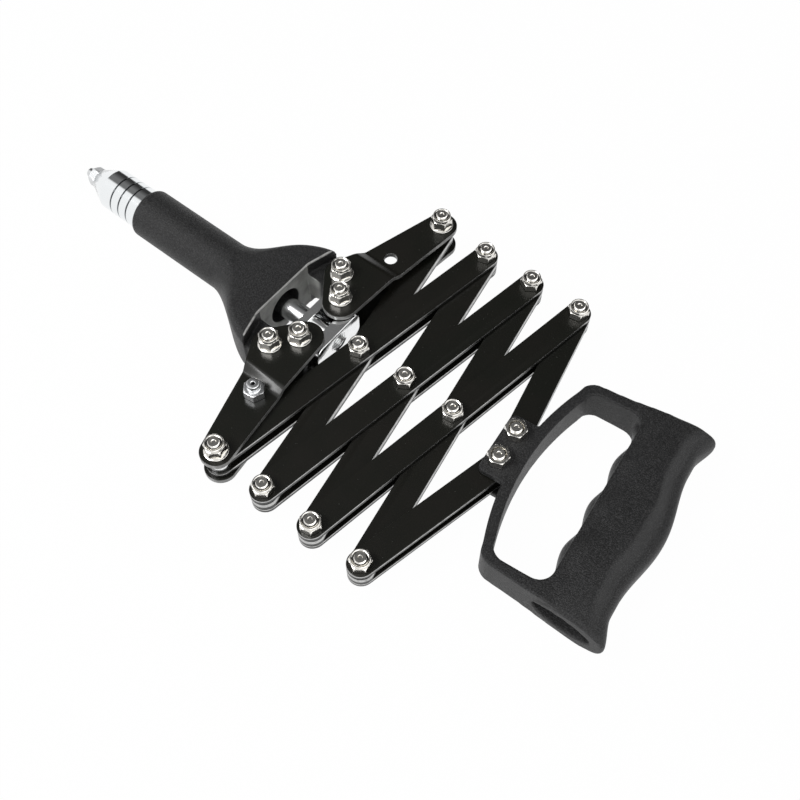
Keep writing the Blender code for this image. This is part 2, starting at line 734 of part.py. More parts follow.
def arm_outline(side, upper):
    """The plan of an arm plate about its pivot: heel, toe, blade and round tip.

    An upper plate's blade tapers from a wide waist, and a lower plate's is slim all along.
    """
    pivot = Vector((-ARM_PIVOT_BACK, ARM_PIVOT_SIDE))
    toe = Vector((-ARM_TOE_BACK, ARM_TOE_SIDE))
    run = toe - pivot
    facing = math.degrees(math.atan2(run.y, run.x)) + 270.0
    points = arc(pivot, ARM_HEEL_R, 150.0, facing, 5)
    points += arc(toe, ARM_TOE_R, facing, 355.0, 9)
    points.append(Vector((ARM_WAIST_RIGHT, ARM_WAIST_SIDE)))
    points += arc((0.0, TIP_SIDE), ARM_TIP_R, 0.0, 170.0, 9)
    waist = Vector((ARM_WAIST_LEFT, ARM_WAIST_SIDE + ARM_RISE_RUN))
    if not upper:
        waist = Vector((LOWER_WAIST_LEFT, LOWER_WAIST_SIDE))
    points.append(waist)
    return [Vector((p.x - pivot.x, side * (p.y - pivot.y))) for p in points]


def arm_spot(x, y, side):
    """A place in the tool's plane, in the frame of the arm on one side."""
    return (x + ARM_PIVOT_BACK, side * (y - ARM_PIVOT_SIDE))


def arm_plate(name, side, sign, carrier, mat):
    """One arm plate, cranked where it steps over the head's lug; upper ones hold a nosepiece."""
    loops = [
        circle(arm_spot(-ARM_PIVOT_BACK, ARM_PIVOT_SIDE, side), HOLE_R),
        circle(arm_spot(-ARM_PIN_BACK, ARM_PIN_SIDE, side), HOLE_R),
        circle(arm_spot(0.0, TIP_SIDE, side), HOLE_R),
    ]
    if sign > 0:
        loops.append(circle(arm_spot(-STORE_BACK, STORE_SIDE, side), STORE_HOLE_R))
    solid = plate(arm_outline(side, sign > 0), loops, ARM_TIP_LOW, ARM_TIP_TOP)
    near = ARM_WAIST_SIDE - ARM_PIVOT_SIDE
    far = near + ARM_RISE_RUN
    for y in (near, far):
        geom = solid.verts[:] + solid.edges[:] + solid.faces[:]
        bmesh.ops.bisect_plane(solid, geom=geom, plane_co=(0, side * y, 0), plane_no=(0, 1, 0), dist=WELD)
    for v in solid.verts:
        v.co.z += ARM_RISE * min(max((far - side * v.co.y) / ARM_RISE_RUN, 0.0), 1.0)
        v.co.z *= sign
    piece(name, solid, carrier, mat)


def arm(name, side, carrier, mats):
    """A pair of arm plates with the bolts, nuts, roller and tip spacers that it carries."""
    for level, sign in (("top", 1), ("bottom", -1)):
        arm_plate(name + "_" + level + "_plate", side, sign, carrier, mats["link"])
    pivot = arm_spot(-ARM_PIVOT_BACK, ARM_PIVOT_SIDE, side)
    pin = arm_spot(-ARM_PIN_BACK, ARM_PIN_SIDE, side)
    tip = arm_spot(0.0, TIP_SIDE, side)
    seats = (("pivot", pivot, ARM_HEEL_TOP), ("pin", pin, ARM_HEEL_TOP), ("tip", tip, ARM_TIP_TOP))
    for spot, centre, top in seats:
        solid = bolt(centre, top, FLANGE_NUT_HIGH, flanged=True)
        piece(name + "_" + spot + "_bolt", solid, carrier, mats["plated"])
    roller = tube(pin, ROLLER_R, HOLE_R, -HEAD_LUG_HALF_HIGH, HEAD_LUG_HALF_HIGH)
    piece(name + "_roller", roller, carrier, mats["bright"])
    if side > 0:
        slot_spacers(name + "_tip", tip, carrier, mats["zinc"])
    else:
        piece(name + "_tip_spacer", tube(tip, WASHER_R, HOLE_R, -BAR_TOP, BAR_TOP), carrier, mats["zinc"])


def slot_spacers(name, centre, carrier, mat):
    """The two rings that fill a plate's place beside a bar, above and below it."""
    for level, low in (("upper", LINK_PLATE_LOW), ("lower", -LINK_PLATE_TOP)):
        solid = tube(centre, WASHER_R, HOLE_R, low, low + PLATE_THICK)
        piece(name + "_" + level + "_spacer", solid, carrier, mat)


def spare_nosepiece(carrier, mats):
    """The spare nosepiece, screwed into the left arm's storage hole."""
    spot = arm_spot(-STORE_BACK, STORE_SIDE, -1)
    rings = nosepiece_rings(ARM_TIP_TOP + SEAT_GAP, 1, SPARE_HOLE_R, SPARE_SHANK_LONG)
    solid = loft(rings, closed=True)
    bmesh.ops.translate(solid, verts=solid.verts, vec=(spot[0], spot[1], 0.0))
    piece("spare_nosepiece", solid, carrier, mats["steel"])


def handle_bolt_places():
    """The two link bolts of the handle, equally far from the scissor's last outer bolts."""
    across = Vector((math.sin(HANDLE_TILT), -math.cos(HANDLE_TILT))) * HANDLE_BOLTS
    one = Vector((LAST_TIP_X, TIP_SIDE))
    two = Vector((LAST_TIP_X, -TIP_SIDE)) - across
    gap = two - one
    normal = Vector((-gap.y, gap.x)).normalized()
    first = (one + two) / 2 + normal * HANDLE_BACK
    return first, first + across


def half_link_reach():
    """The distance between the two bolts of either half link."""
    first, _ = handle_bolt_places()
    return (first - Vector((LAST_TIP_X, TIP_SIDE))).length


def end_side(x):
    """How far from its middle the handle's end face lies at x."""
    return FRAME_END_SIDE + FRAME_END_SLOPE * (x - FRAME_END_X)


def grip_front(y):
    return GRIP_FRONT + FINGER_DEPTH * math.cos(math.tau * (y - FINGER_MIDDLE) / FINGER_PITCH)


def grip_back(y):
    belly = GRIP_BELLY * math.cos(math.tau * min(abs(y) / GRIP_BELLY_LONG, 0.5))
    heel = GRIP_HEEL * smooth((abs(y) - GRIP_HEEL_START) / GRIP_HEEL_RUN)
    return GRIP_BACK + belly + heel


def grip_ring(share, inset):
    """A slice of the grip at a share of the way to its end faces, from -1 to 1."""
    near = share * end_side((GRIP_FRONT + GRIP_BACK) / 2)
    front = grip_front(near) + inset
    back = grip_back(near) - inset
    half = GRIP_END_HALF_THICK + (GRIP_HALF_THICK - GRIP_END_HALF_THICK) * (1 - share ** 4) - inset
    middle = (front + back) / 2
    ring = []
    for i in range(ROUND_FINE):
        a = math.tau * i / ROUND_FINE
        c, s = math.cos(a), math.sin(a)
        x = middle + (back - front) / 2 * math.copysign(abs(c) ** 0.8, c)
        z = half * math.copysign(abs(s) ** 0.8, s)
        ring.append(Vector((x, share * end_side(x), z)))
    return ring


def handle_frame_outline():
    """The handle's bow, seen in plan, from its front curve to inside the grip."""
    half = []
    steps = 6
    last = end_side(FRAME_END_X) - FRAME_CORNER_R
    for i in range(steps + 1):
        y = last * i / steps
        half.append(Vector((FRAME_FRONT + y * y / (2 * FRAME_FRONT_CURVE), y)))
    corner = Vector((half[-1].x + FRAME_CORNER_R, last))
    half += arc(corner, FRAME_CORNER_R, 150, 95, 4)
    for x in (GRIP_FRONT, GRIP_BACK - FRAME_SINK):
        half.append(Vector((x, end_side(x) - WALL_STEP)))
    mirrored = [Vector((p.x, -p.y)) for p in half[:0:-1]]
    return mirrored + half


def handle_loop_outline():
    """The finger loop inside the bow; the grip makes its back edge."""
    half = []
    steps = 5
    last = LOOP_SIDE - LOOP_CORNER_R
    for i in range(steps + 1):
        y = last * i / steps
        half.append(Vector((LOOP_FRONT + y * y / (2 * LOOP_FRONT_CURVE), y)))
    corner = Vector((half[-1].x + LOOP_CORNER_R, last))
    half += arc(corner, LOOP_CORNER_R, 150, 90, 3)
    corner = (LOOP_BACK - LOOP_BACK_CORNER_R, LOOP_SIDE - LOOP_BACK_CORNER_R)
    half += arc(corner, LOOP_BACK_CORNER_R, 90, 0, 4)
    mirrored = [Vector((p.x, -p.y)) for p in half[:0:-1]]
    return mirrored + half


def handle_casting(carrier, mat):
    """The cast handle: bow, grip with finger grooves, slotted lug and cored end."""
    bow = plate(handle_frame_outline(), [handle_loop_outline()], -FRAME_HALF_THICK, FRAME_HALF_THICK)
    root = (FRAME_FRONT + LOOP_FRONT) / 2
    corner_x = LUG_FRONT + LUG_CORNER_R
    low, high = LUG_ASIDE - LUG_SIDE, LUG_ASIDE + LUG_SIDE
    lug = arc((corner_x, high - LUG_CORNER_R), LUG_CORNER_R, 90, 180, 3)
    lug += arc((corner_x, low + LUG_CORNER_R), LUG_CORNER_R, 180, 270, 3)
    lug += [Vector((root, low)), Vector((root, high))]
    solid = combine(bow, plate(lug, [], -FRAME_HALF_THICK, FRAME_HALF_THICK), "UNION")
    slices = 23
    rings = [grip_ring(-1.0, GRIP_ROUND)]
    for i in range(slices + 1):
        rings.append(grip_ring(GRIP_FULL * (2 * i / slices - 1), 0.0))
    rings.append(grip_ring(1.0, GRIP_ROUND))
    solid = combine(solid, loft(rings), "UNION")
    slot_half = LINK_PLATE_TOP + SEAT_GAP
    far = LUG_SIDE + CUT_OVER
    corners = ((LUG_FRONT - far, -far), (LUG_SLOT_DEEP, -far), (LUG_SLOT_DEEP, far), (LUG_FRONT - far, far))
    slot = [Vector(p) for p in corners]
    solid = combine(solid, plate(slot, [], -slot_half, slot_half), "DIFFERENCE")
    for side in (1, -1):
        hole = circle((0.0, LUG_ASIDE + side * HANDLE_BOLTS / 2), HOLE_R)
        solid = combine(solid, plate(hole, [], -FRAME_HALF_THICK - far, FRAME_HALF_THICK + far), "DIFFERENCE")
    core = []
    for y in (-end_side(CORE_X) - far, -end_side(CORE_X) + CORE_DEEP):
        ring = []
        for i in range(ROUND_FINE):
            a = math.tau * i / ROUND_FINE
            ring.append(Vector((CORE_X + CORE_HALF_LONG * math.cos(a), y, CORE_HALF_HIGH * math.sin(a))))
        core.append(ring)
    solid = combine(solid, loft(core), "DIFFERENCE")
    bmesh.ops.translate(solid, verts=solid.verts, vec=(0.0, -LUG_ASIDE - HANDLE_BOLTS / 2, 0.0))
    piece("handle_casting", solid, carrier, mat)


def handle_fittings(carrier, mats):
    """The handle's two bolts, and the spacers beside and between the links in its slot."""
    spots = {"right": (0.0, 0.0), "left": (0.0, -HANDLE_BOLTS)}
    for side, spot in spots.items():
        solid = bolt(spot, FRAME_HALF_THICK, PLAIN_NUT_HIGH, collared=False)
        piece("handle_" + side + "_bolt", solid, carrier, mats["plated"])
    slot_spacers("handle_right", spots["right"], carrier, mats["zinc"])
    middle = tube(spots["left"], WASHER_R, HOLE_R, -BAR_TOP, BAR_TOP)
    piece("handle_left_spacer", middle, carrier, mats["zinc"])


def tip_place(index, side):
    """An outer crossing of the scissor, counted from 1 at the arms."""
    return Vector(((index - 1) * LINK_PITCH, side * TIP_SIDE, 0.0))


def middle_place(index):
    return Vector(((index - 0.5) * LINK_PITCH, 0.0, 0.0))


def scissor(root, mats):
    """The links: bars run from the right tips, plate pairs from the left tips."""
    ends = (0.0, LINK_REACH)
    centred = (-HALF_REACH, HALF_REACH)
    bars = {1: (tip_place(1, 1), ends), 2: (middle_place(2), centred), 3: (tip_place(3, 1), ends)}
    for i, (place, (first, last)) in bars.items():
        carrier = body("inner_link_%d_pivot" % i, root, place, -LINK_ANGLE)
        link_bar("inner_link_%d" % i, first, last, (first, (first + last) / 2, last), carrier, mats["bar"])
    pairs = {
        1: (middle_place(1), centred, {"middle": 0.0, "right": HALF_REACH}),
        2: (tip_place(2, -1), ends, {"left": 0.0, "middle": HALF_REACH, "right": LINK_REACH}),
        3: (middle_place(3), centred, {"left": -HALF_REACH, "middle": 0.0, "right": HALF_REACH}),
    }
    for i, (place, (first, last), spots) in pairs.items():
        name = "outer_link_%d" % i
        carrier = body(name + "_pivot", root, place, LINK_ANGLE)
        holes = [(x, HOLE_R) for x in (first, (first + last) / 2, last)]
        link_plates(name, first, last, holes, carrier, mats["link"])
        link_bolts(name, spots, carrier, mats)


def half_links(root, mats):
    """The two short links that end on the handle's bolts."""
    first, second = handle_bolt_places()
    right, left = tip_place(LINK_PAIRS + 1, 1), tip_place(LINK_PAIRS + 1, -1)
    turn = math.atan2(first.y - right.y, first.x - right.x)
    carrier = body("inner_half_link_pivot", root, right, turn)
    reach = half_link_reach()
    link_bar("inner_half_link", 0.0, reach, (0.0, reach), carrier, mats["bar"])
    turn = math.atan2(second.y - left.y, second.x - left.x)
    carrier = body("outer_half_link_pivot", root, left, turn)
    holes = [(0.0, HOLE_R), (reach, HOLE_R + HANDLE_PLAY)]
    link_plates("outer_half_link", 0.0, reach, holes, carrier, mats["link"])
    link_bolts("outer_half_link", {"left": 0.0}, carrier, mats)


def box_middle():
    """The x under the middle of the tool, between its nose tip and the handle's back."""
    nose = SLEEVE_TIP - SEAT_GAP - NOSEPIECE_HEX_LONG - NOSEPIECE_BOSS_LONG
    first, second = handle_bolt_places()
    middle = (first + second) / 2
    reach = nose
    for share, inset in ((-GRIP_FULL, 0.0), (-1.0, GRIP_ROUND)):
        for p in grip_ring(share, inset):
            aside = p.y - LUG_ASIDE
            x = middle.x + p.x * math.cos(HANDLE_TILT) - aside * math.sin(HANDLE_TILT)
            reach = max(reach, x)
    return (nose + reach) / 2


def build():
    clear_scene()
    mats = {
        "cast": finish("cast_black", (0.022, 0.022, 0.023), 0.62, 0.0),
        "link": finish("black_plate", (0.012, 0.012, 0.013), 0.32, 0.0),
        "bar": finish("black_bar", (0.014, 0.014, 0.015), 0.36, 0.0),
        "plated": finish("nickel_plate", (0.66, 0.63, 0.58), 0.24, 1.0),
        "bright": finish("bright_steel", (0.78, 0.79, 0.80), 0.12, 1.0),
        "steel": finish("machined_steel", (0.55, 0.56, 0.57), 0.30, 1.0),
        "zinc": finish("zinc_cast", (0.62, 0.63, 0.64), 0.38, 1.0),
    }
    root = body("riveter", None, Vector((-box_middle(), 0.0, HEAD_HALF_HIGH)))
    head_casting(root, mats["cast"])
    nose_sleeve(root, mats["bright"])
    seat = SLEEVE_TIP - SEAT_GAP
    rings = nosepiece_rings(seat, -1, NOSEPIECE_HOLE_R, NOSEPIECE_SHANK_LONG)
    piece("nosepiece", loft(along_x(rings), closed=True), root, mats["steel"])
    slide = body("crosshead_slide", root)
    crosshead(slide, mats["zinc"])
    pulling_gear(slide, mats)
    for name, side in (("right_arm", 1), ("left_arm", -1)):
        place = Vector((-ARM_PIVOT_BACK, side * ARM_PIVOT_SIDE, 0.0))
        carrier = body(name + "_pivot", root, place)
        arm(name, side, carrier, mats)
        if side < 0:
            spare_nosepiece(carrier, mats)
    scissor(root, mats)
    half_links(root, mats)
    first, _ = handle_bolt_places()
    handle = body("handle_pivot", root, Vector((first.x, first.y, 0.0)), HANDLE_TILT)
    handle_casting(handle, mats["cast"])
    handle_fittings(handle, mats)


build()
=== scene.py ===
"""Looks of a lazy tong riveter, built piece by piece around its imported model.

Lengths are metres. Plans and profiles are laid out in the tool's own frame: its origin is
on the axis between the two arm tips, +X runs to the handle and +Y to the right arm.
"""
import json
import math

import bmesh
import bpy
from mathutils import Matrix, Vector


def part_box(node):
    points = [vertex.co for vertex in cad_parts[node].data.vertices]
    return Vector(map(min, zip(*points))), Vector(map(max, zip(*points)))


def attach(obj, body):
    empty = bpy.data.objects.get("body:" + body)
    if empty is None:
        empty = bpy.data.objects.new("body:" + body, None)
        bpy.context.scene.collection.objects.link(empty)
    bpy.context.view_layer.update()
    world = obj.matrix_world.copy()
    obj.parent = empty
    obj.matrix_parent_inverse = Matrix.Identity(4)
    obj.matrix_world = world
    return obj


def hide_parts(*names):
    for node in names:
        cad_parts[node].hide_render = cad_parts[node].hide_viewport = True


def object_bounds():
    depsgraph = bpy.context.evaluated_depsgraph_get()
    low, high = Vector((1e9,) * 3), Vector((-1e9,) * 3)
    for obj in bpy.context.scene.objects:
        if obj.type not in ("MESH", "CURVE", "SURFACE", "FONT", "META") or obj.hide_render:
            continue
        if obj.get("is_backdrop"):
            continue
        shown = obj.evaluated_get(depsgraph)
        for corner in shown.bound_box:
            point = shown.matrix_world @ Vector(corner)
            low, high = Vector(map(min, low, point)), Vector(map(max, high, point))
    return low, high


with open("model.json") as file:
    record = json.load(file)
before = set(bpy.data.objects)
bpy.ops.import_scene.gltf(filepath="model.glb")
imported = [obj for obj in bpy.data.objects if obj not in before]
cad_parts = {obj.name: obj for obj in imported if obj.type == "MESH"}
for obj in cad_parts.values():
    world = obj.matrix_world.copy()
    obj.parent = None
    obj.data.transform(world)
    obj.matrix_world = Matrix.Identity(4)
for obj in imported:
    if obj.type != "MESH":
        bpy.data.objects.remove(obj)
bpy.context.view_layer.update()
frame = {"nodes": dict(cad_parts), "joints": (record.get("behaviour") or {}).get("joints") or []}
nodes = frame["nodes"]
joints = {j["name"]: Vector(j["pos_m"]) for j in frame["joints"] if "pos_m" in j}
MM = 0.001


def middle_of(node):
    low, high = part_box(node)
    return (low + high) / 2


TOOL = Vector((joints["inner_link_1_swing"].x, 0.0, middle_of("inner_link_1").z))

# Camera, floor and light
# The tool lies on a white sweep, seen from the handle's left at about sixty degrees. The near
# and right sides are white, with a softbox, the ceiling is grey and the far side dark.
PHOTO_LENS = 47.50
EYE = TOOL + Vector((215.91, -216.3, 459.3)) * MM
EYE_BACK = Vector((0.31577, -0.39263, 0.86379)).normalized()
EYE_RIGHT = Vector((0.0, 0.0, 1.0)).cross(EYE_BACK).normalized()
EYE_ROLL = math.radians(-0.17)

camera = bpy.data.objects.new("camera", bpy.data.cameras.new("camera"))
bpy.context.collection.objects.link(camera)
camera.data.lens = PHOTO_LENS
camera.data.sensor_width = 36.0
camera.data.clip_start = 0.01
camera.data.clip_end = 20.0
eye_axes = Matrix((EYE_RIGHT, EYE_BACK.cross(EYE_RIGHT), EYE_BACK)).transposed()
camera.matrix_world = Matrix.Translation(EYE) @ (eye_axes @ Matrix.Rotation(EYE_ROLL, 3, "Z")).to_4x4()
bpy.context.scene.camera = camera
bpy.context.scene.view_settings.view_transform = "Standard"


class Value:
    """A shader socket whose arithmetic adds Math nodes to its tree."""

    def __init__(self, tree, socket):
        self.tree = tree
        self.socket = socket

    def math(self, operation, *others):
        made = self.tree.nodes.new("ShaderNodeMath")
        made.operation = operation
        for slot, value in zip(made.inputs, (self, *others)):
            connect(self.tree, slot, value)
        return Value(self.tree, made.outputs[0])

    def __add__(self, other):
        return self.math("ADD", other)

    __radd__ = __add__

    def __mul__(self, other):
        return self.math("MULTIPLY", other)

    __rmul__ = __mul__

    def __sub__(self, other):
        return self.math("SUBTRACT", other)

    def __rsub__(self, other):
        return self * -1.0 + other

    def __truediv__(self, other):
        return self.math("DIVIDE", other)

    def above(self, edge, width):
        """0 below edge and 1 above it, with a soft step of that width."""
        return ((self - edge) / width + 0.5).math("MAXIMUM", 0.0).math("MINIMUM", 1.0)

    def within(self, low, high, width):
        return self.above(low, width) * (1.0 - self.above(high, width))


def connect(tree, slot, value):
    if isinstance(value, Value):
        tree.links.new(value.socket, slot)
    else:
        slot.default_value = value


class Shading:
    """A material or a world under construction."""

    def __init__(self, owner):
        owner.use_nodes = True
        self.tree = owner.node_tree
        self.owner = owner

    def node(self, kind, settings=None, output=0, **inputs):
        """Adds a node: its settings first, then the values or links of its sockets."""
        made = self.tree.nodes.new("ShaderNode" + kind)
        for name, value in (settings or {}).items():
            setattr(made, name, value)
        for name, value in inputs.items():
            slots = [s for s in made.inputs if s.name.replace(" ", "_") == name and s.enabled]
            connect(self.tree, slots[0], value)
        return Value(self.tree, made.outputs[output])

    def place(self):
        """The point on the piece, in its own coordinates."""
        return self.node("TexCoord", output=3)

    def axes(self, vector):
        split = self.node("SeparateXYZ", Vector=vector)
        return [Value(self.tree, s) for s in split.socket.node.outputs]

    def noise(self, point, scale, detail=2.0, roughness=0.5):
        return self.node("TexNoise", Vector=point, Scale=scale, Detail=detail, Roughness=roughness)

    def blend(self, share, one, two):
        """A colour between two colours."""
        made = self.tree.nodes.new("ShaderNodeMix")
        made.data_type = "RGBA"
        first, second = [s for s in made.inputs if s.type == "RGBA"]
        for slot, value in ((made.inputs[0], share), (first, one), (second, two)):
            connect(self.tree, slot, value)
        return Value(self.tree, [s for s in made.outputs if s.type == "RGBA"][0])

    def relief(self, height, distance, strength=1.0):
        return self.node("Bump", Height=height, Distance=distance, Strength=strength)

    def principled(self, **inputs):
        shader = self.tree.nodes["Principled BSDF"]
        for name, value in inputs.items():
            connect(self.tree, shader.inputs[name.replace("_", " ")], value)
        return self.owner


def colour(red, green, blue):
    return (red, green, blue, 1.0)


def new_material(name):
    return Shading(bpy.data.materials.new(name))


WHITE = colour(1.0, 1.0, 1.0)
SWEEP_GREY = colour(0.82, 0.82, 0.82)
SWEEP_SIZE = 6.0
SWEEP_GLOW = 0.985

sweep = new_material("white_sweep")
shown = (sweep.node("LightPath", output=0) + sweep.node("LightPath", output=3)).math("MINIMUM", 1.0) * SWEEP_GLOW
plain = sweep.node("BsdfDiffuse", Color=SWEEP_GREY)
glow = sweep.node("Emission", Color=WHITE, Strength=1.0)
mixed = sweep.tree.nodes.new("ShaderNodeMixShader")
for slot, value in zip(mixed.inputs, (shown, plain, glow)):
    connect(sweep.tree, slot, value)
sweep.tree.links.new(mixed.outputs[0], sweep.tree.nodes["Material Output"].inputs[0])

half = SWEEP_SIZE / 2
floor_mesh = bpy.data.meshes.new("floor")
corners = [(-half, -half, 0), (half, -half, 0), (half, half, 0), (-half, half, 0)]
floor_mesh.from_pydata(corners, [], [(0, 1, 2, 3)])
floor_mesh.materials.append(sweep.owner)
floor = bpy.data.objects.new("floor", floor_mesh)
floor.location.z = -0.2 * MM
bpy.context.collection.objects.link(floor)
floor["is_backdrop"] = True

ROOM_DARK = 0.035
ROOM_CEILING = 0.17
RIGHT_WALL = 1.8
ROOM_SOFT = 0.28
ROOM_SOFT_NEAR = 0.45
world = bpy.data.worlds.new("studio")
bpy.context.scene.world = world
sky = Shading(world)
along, around, height = sky.axes(sky.node("TexCoord", output=0))
near_wall = 1.0 - around.above(0.02, 0.14)
low_wall = 1.0 - height.above(0.10, 0.08)
ceiling = (1.0 - around.above(0.55, 0.3)) * (ROOM_CEILING - ROOM_DARK) + ROOM_DARK
right_wall = along.above(0.55, 0.3) * RIGHT_WALL
mirrored = (near_wall + low_wall).math("MINIMUM", 1.0).math("MAXIMUM", ceiling) + right_wall
soft = (1.0 - around.above(0.0, 1.6)) * ROOM_SOFT_NEAR + ROOM_SOFT
glossy = sky.node("LightPath", output=3)
direct = sky.node("LightPath", output=0)
level = mirrored * glossy + soft * (1.0 - glossy)
background = sky.tree.nodes["Background"]
background.inputs["Color"].default_value = WHITE
sky.tree.links.new((level * (1.0 - direct) + direct).socket, background.inputs["Strength"])


def softbox(name, towards, distance, wide, tall, power):
    """A soft lamp in the given direction from the tool, facing it."""
    lamp = bpy.data.lights.new(name, "AREA")
    lamp.shape = "RECTANGLE"
    lamp.size = wide
    lamp.size_y = tall
    lamp.energy = power
    made = bpy.data.objects.new(name, lamp)
    bpy.context.collection.objects.link(made)
    away = Vector(towards).normalized()
    made.location = TOOL + away * distance
    made.rotation_mode = "QUATERNION"
    made.rotation_quaternion = away.to_track_quat("Z", "Y")
    made.visible_camera = False


softbox("near_softbox", (-0.32, -0.48, 0.82), 1.3, 0.75, 0.32, 9.0)

# Head
# One aluminium die casting: a bored barrel that flares into a flat block, with a cavity for
# the cross-head and two lugs for the arms. Black powder coat, thin and grey in the cavity.
BARREL_R = 14.2 * MM
BARREL_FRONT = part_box("head_casting")[0].x - TOOL.x
BARREL_ROUND = 1.6 * MM
BORE_R = 10.5 * MM
FLARE_START = -77.0 * MM
FLARE_HALF_WIDTH = 36.6 * MM
BLOCK_REAR = -30.6 * MM
BLOCK_STEP_X = -35.2 * MM
BLOCK_STEP_SIDE = 20.0 * MM
HEAD_HALF_HIGH = 16.0 * MM
HEAD_CORNER_R = 4.5 * MM
CAVITY_SIDE = 18.2 * MM
CAVITY_FRONT = -35.4 * MM
PIVOT = Vector((-20.0 * MM, 28.2 * MM))
LUG_R = 8.6 * MM
LUG_HALF_HIGH = 8.55 * MM
LUG_ROOT_X = -44.0 * MM
LEFT_HOLE_SHIFT = 1.1 * MM
LEFT_HOLE_PLAY = 1.35 * MM
HOLE_R = 3.3 * MM
CUT_OVER = 15.0 * MM
CAST_VOXEL = 0.57 * MM
BLEND_PASSES = 30
POWDER_BLACK = colour(0.0055, 0.0055, 0.0057)
POWDER_GREY = colour(0.052, 0.052, 0.053)
THIN_COAT = colour(0.34, 0.345, 0.33)
# Colour of the rim line: painted highlight, partly worn coat.
RIM_LIGHT_AND_WEAR = colour(0.42, 0.42, 0.41)
POWDER_GRAIN = 1900.0


def powder_coat(name, thin=None):
    """Fine-grained black powder coat; a function may mark where it is thin and grey."""
    made = new_material(name)
    point = made.place()
    grain = made.noise(point, POWDER_GRAIN, 2.0, 0.65)
    cloud = made.noise(point, 70.0, 3.0, 0.5)
    tone = made.blend(grain.above(0.55, 0.16) * 0.8 + cloud * 0.12, POWDER_BLACK, POWDER_GREY)
    rough = 0.33 + grain * 0.18 + cloud * 0.05
    if thin is not None:
        share = thin(made, point) * (0.7 + cloud * 0.5)
        tone = made.blend(share, tone, THIN_COAT)
        # A bright line along the block's rear top edge: painted highlight, partly worn coat.
        tone = made.blend(rim_highlight_and_wear(made, point), tone, RIM_LIGHT_AND_WEAR)
    normal = made.relief(grain, 0.36 * MM, 1.0)
    return made.principled(Base_Color=tone, Roughness=rough, Normal=normal, Specular_IOR_Level=0.27)


def cavity_wall(made, point):
    x, y, z = made.axes(point)
    along = x.above(TOOL.x + CAVITY_FRONT - 0.7 * MM, 0.25 * MM)
    aside = y.within(-CAVITY_SIDE - 0.35 * MM, CAVITY_SIDE + 0.35 * MM, 0.25 * MM)
    patchy = made.noise(point, 160.0, 3.0).above(0.42, 0.4) * 0.5 + 0.5
    return along * aside * patchy


def rim_highlight_and_wear(made, point):
    """The block's rear top edge, where a bright line is painted: highlight, partly worn coat."""
    x, y, z = made.axes(point)
    slope = (BLOCK_REAR - BLOCK_STEP_X) / (FLARE_HALF_WIDTH - BLOCK_STEP_SIDE)
    beyond = (y.math("ABSOLUTE") - BLOCK_STEP_SIDE).math("MAXIMUM", 0.0) * slope
    behind = x - (TOOL.x + BLOCK_STEP_X) - beyond
    rim_patches = made.noise(point, 300.0, 2.0).above(0.40, 0.3) * 0.7 + 0.3
    return behind.within(-1.0 * MM, 0.2 * MM, 0.3 * MM) * z.above(TOOL.z + HEAD_HALF_HIGH - 0.7 * MM, 0.3 * MM) * rim_patches


def smooth(t):
    """0 to 1 with level ends."""
    t = min(max(t, 0.0), 1.0)
    return t * t * (3.0 - 2.0 * t)


def arc(centre, radius, start, end, steps):
    """Points on an arc, both ends included, with angles in degrees."""
    points = []
    for i in range(steps + 1):
        a = math.radians(start + (end - start) * i / steps)
        points.append(Vector((centre[0] + radius * math.cos(a), centre[1] + radius * math.sin(a))))
    return points


def circle(centre, radius, steps=48):
    return arc(centre, radius, 0.0, 360.0 * (steps - 1) / steps, steps - 1)


def plate(outline, holes, low, high):
    """An upright-walled plate with holes, from outlines in the plane."""
    solid = bmesh.new()
    edges = []
    for loop in [outline] + holes:
        verts = [solid.verts.new((p[0], p[1], low)) for p in loop]
        edges += [solid.edges.new((verts[i - 1], verts[i])) for i in range(len(verts))]
    bmesh.ops.triangle_fill(solid, edges=edges, use_beauty=True, use_dissolve=False)
    raised = bmesh.ops.extrude_face_region(solid, geom=list(solid.faces))
    lifted = [g for g in raised["geom"] if isinstance(g, bmesh.types.BMVert)]
    bmesh.ops.translate(solid, verts=lifted, vec=(0.0, 0.0, high - low))
    return solid


def loft(rings, closed=False):
    """A solid through rings of equally many points; a closed one joins its ends."""
    solid = bmesh.new()
    rows = [[solid.verts.new(p) for p in ring] for ring in rings]
    pairs = list(zip(rows, rows[1:]))
    if closed:
        pairs.append((rows[-1], rows[0]))
    for one, two in pairs:
        for i in range(len(one)):
            solid.faces.new((one[i - 1], one[i], two[i], two[i - 1]))
    if not closed:
        solid.faces.new(rows[0])
        solid.faces.new(rows[-1])
    return solid


def mesh_of(solid, name="made"):
    """A mesh from a closed solid, with its faces turned outwards."""
    bmesh.ops.remove_doubles(solid, verts=solid.verts, dist=0.002 * MM)
    bmesh.ops.recalc_face_normals(solid, faces=solid.faces)
    if solid.calc_volume(signed=True) < 0:
        bmesh.ops.reverse_faces(solid, faces=solid.faces)
    mesh = bpy.data.meshes.new(name)
    solid.to_mesh(mesh)
    solid.free()
    return mesh


def holder_of(mesh):
    made = bpy.data.objects.new("holder", mesh)
    bpy.context.collection.objects.link(made)
    return made


def evaluated(holder):
    """The plain mesh that an object's modifiers make. The object is removed."""
    shape = holder.evaluated_get(bpy.context.evaluated_depsgraph_get())
    made = bpy.data.meshes.new_from_object(shape)
    spent = holder.data
    bpy.data.objects.remove(holder)
    bpy.data.meshes.remove(spent)
    return made


def unmeshed(mesh):
    solid = bmesh.new()
    solid.from_mesh(mesh)
    bpy.data.meshes.remove(mesh)
    return solid


def combine(base, tool, operation):
    """The exact Boolean of two closed solids."""
    target = holder_of(mesh_of(base))
    cutter = holder_of(mesh_of(tool))
    boolean = target.modifiers.new("boolean", "BOOLEAN")
    boolean.operation = operation
    boolean.solver = "MANIFOLD"
    boolean.object = cutter
    mesh = evaluated(target)
    spent = cutter.data
    bpy.data.objects.remove(cutter)
    bpy.data.meshes.remove(spent)
    return unmeshed(mesh)


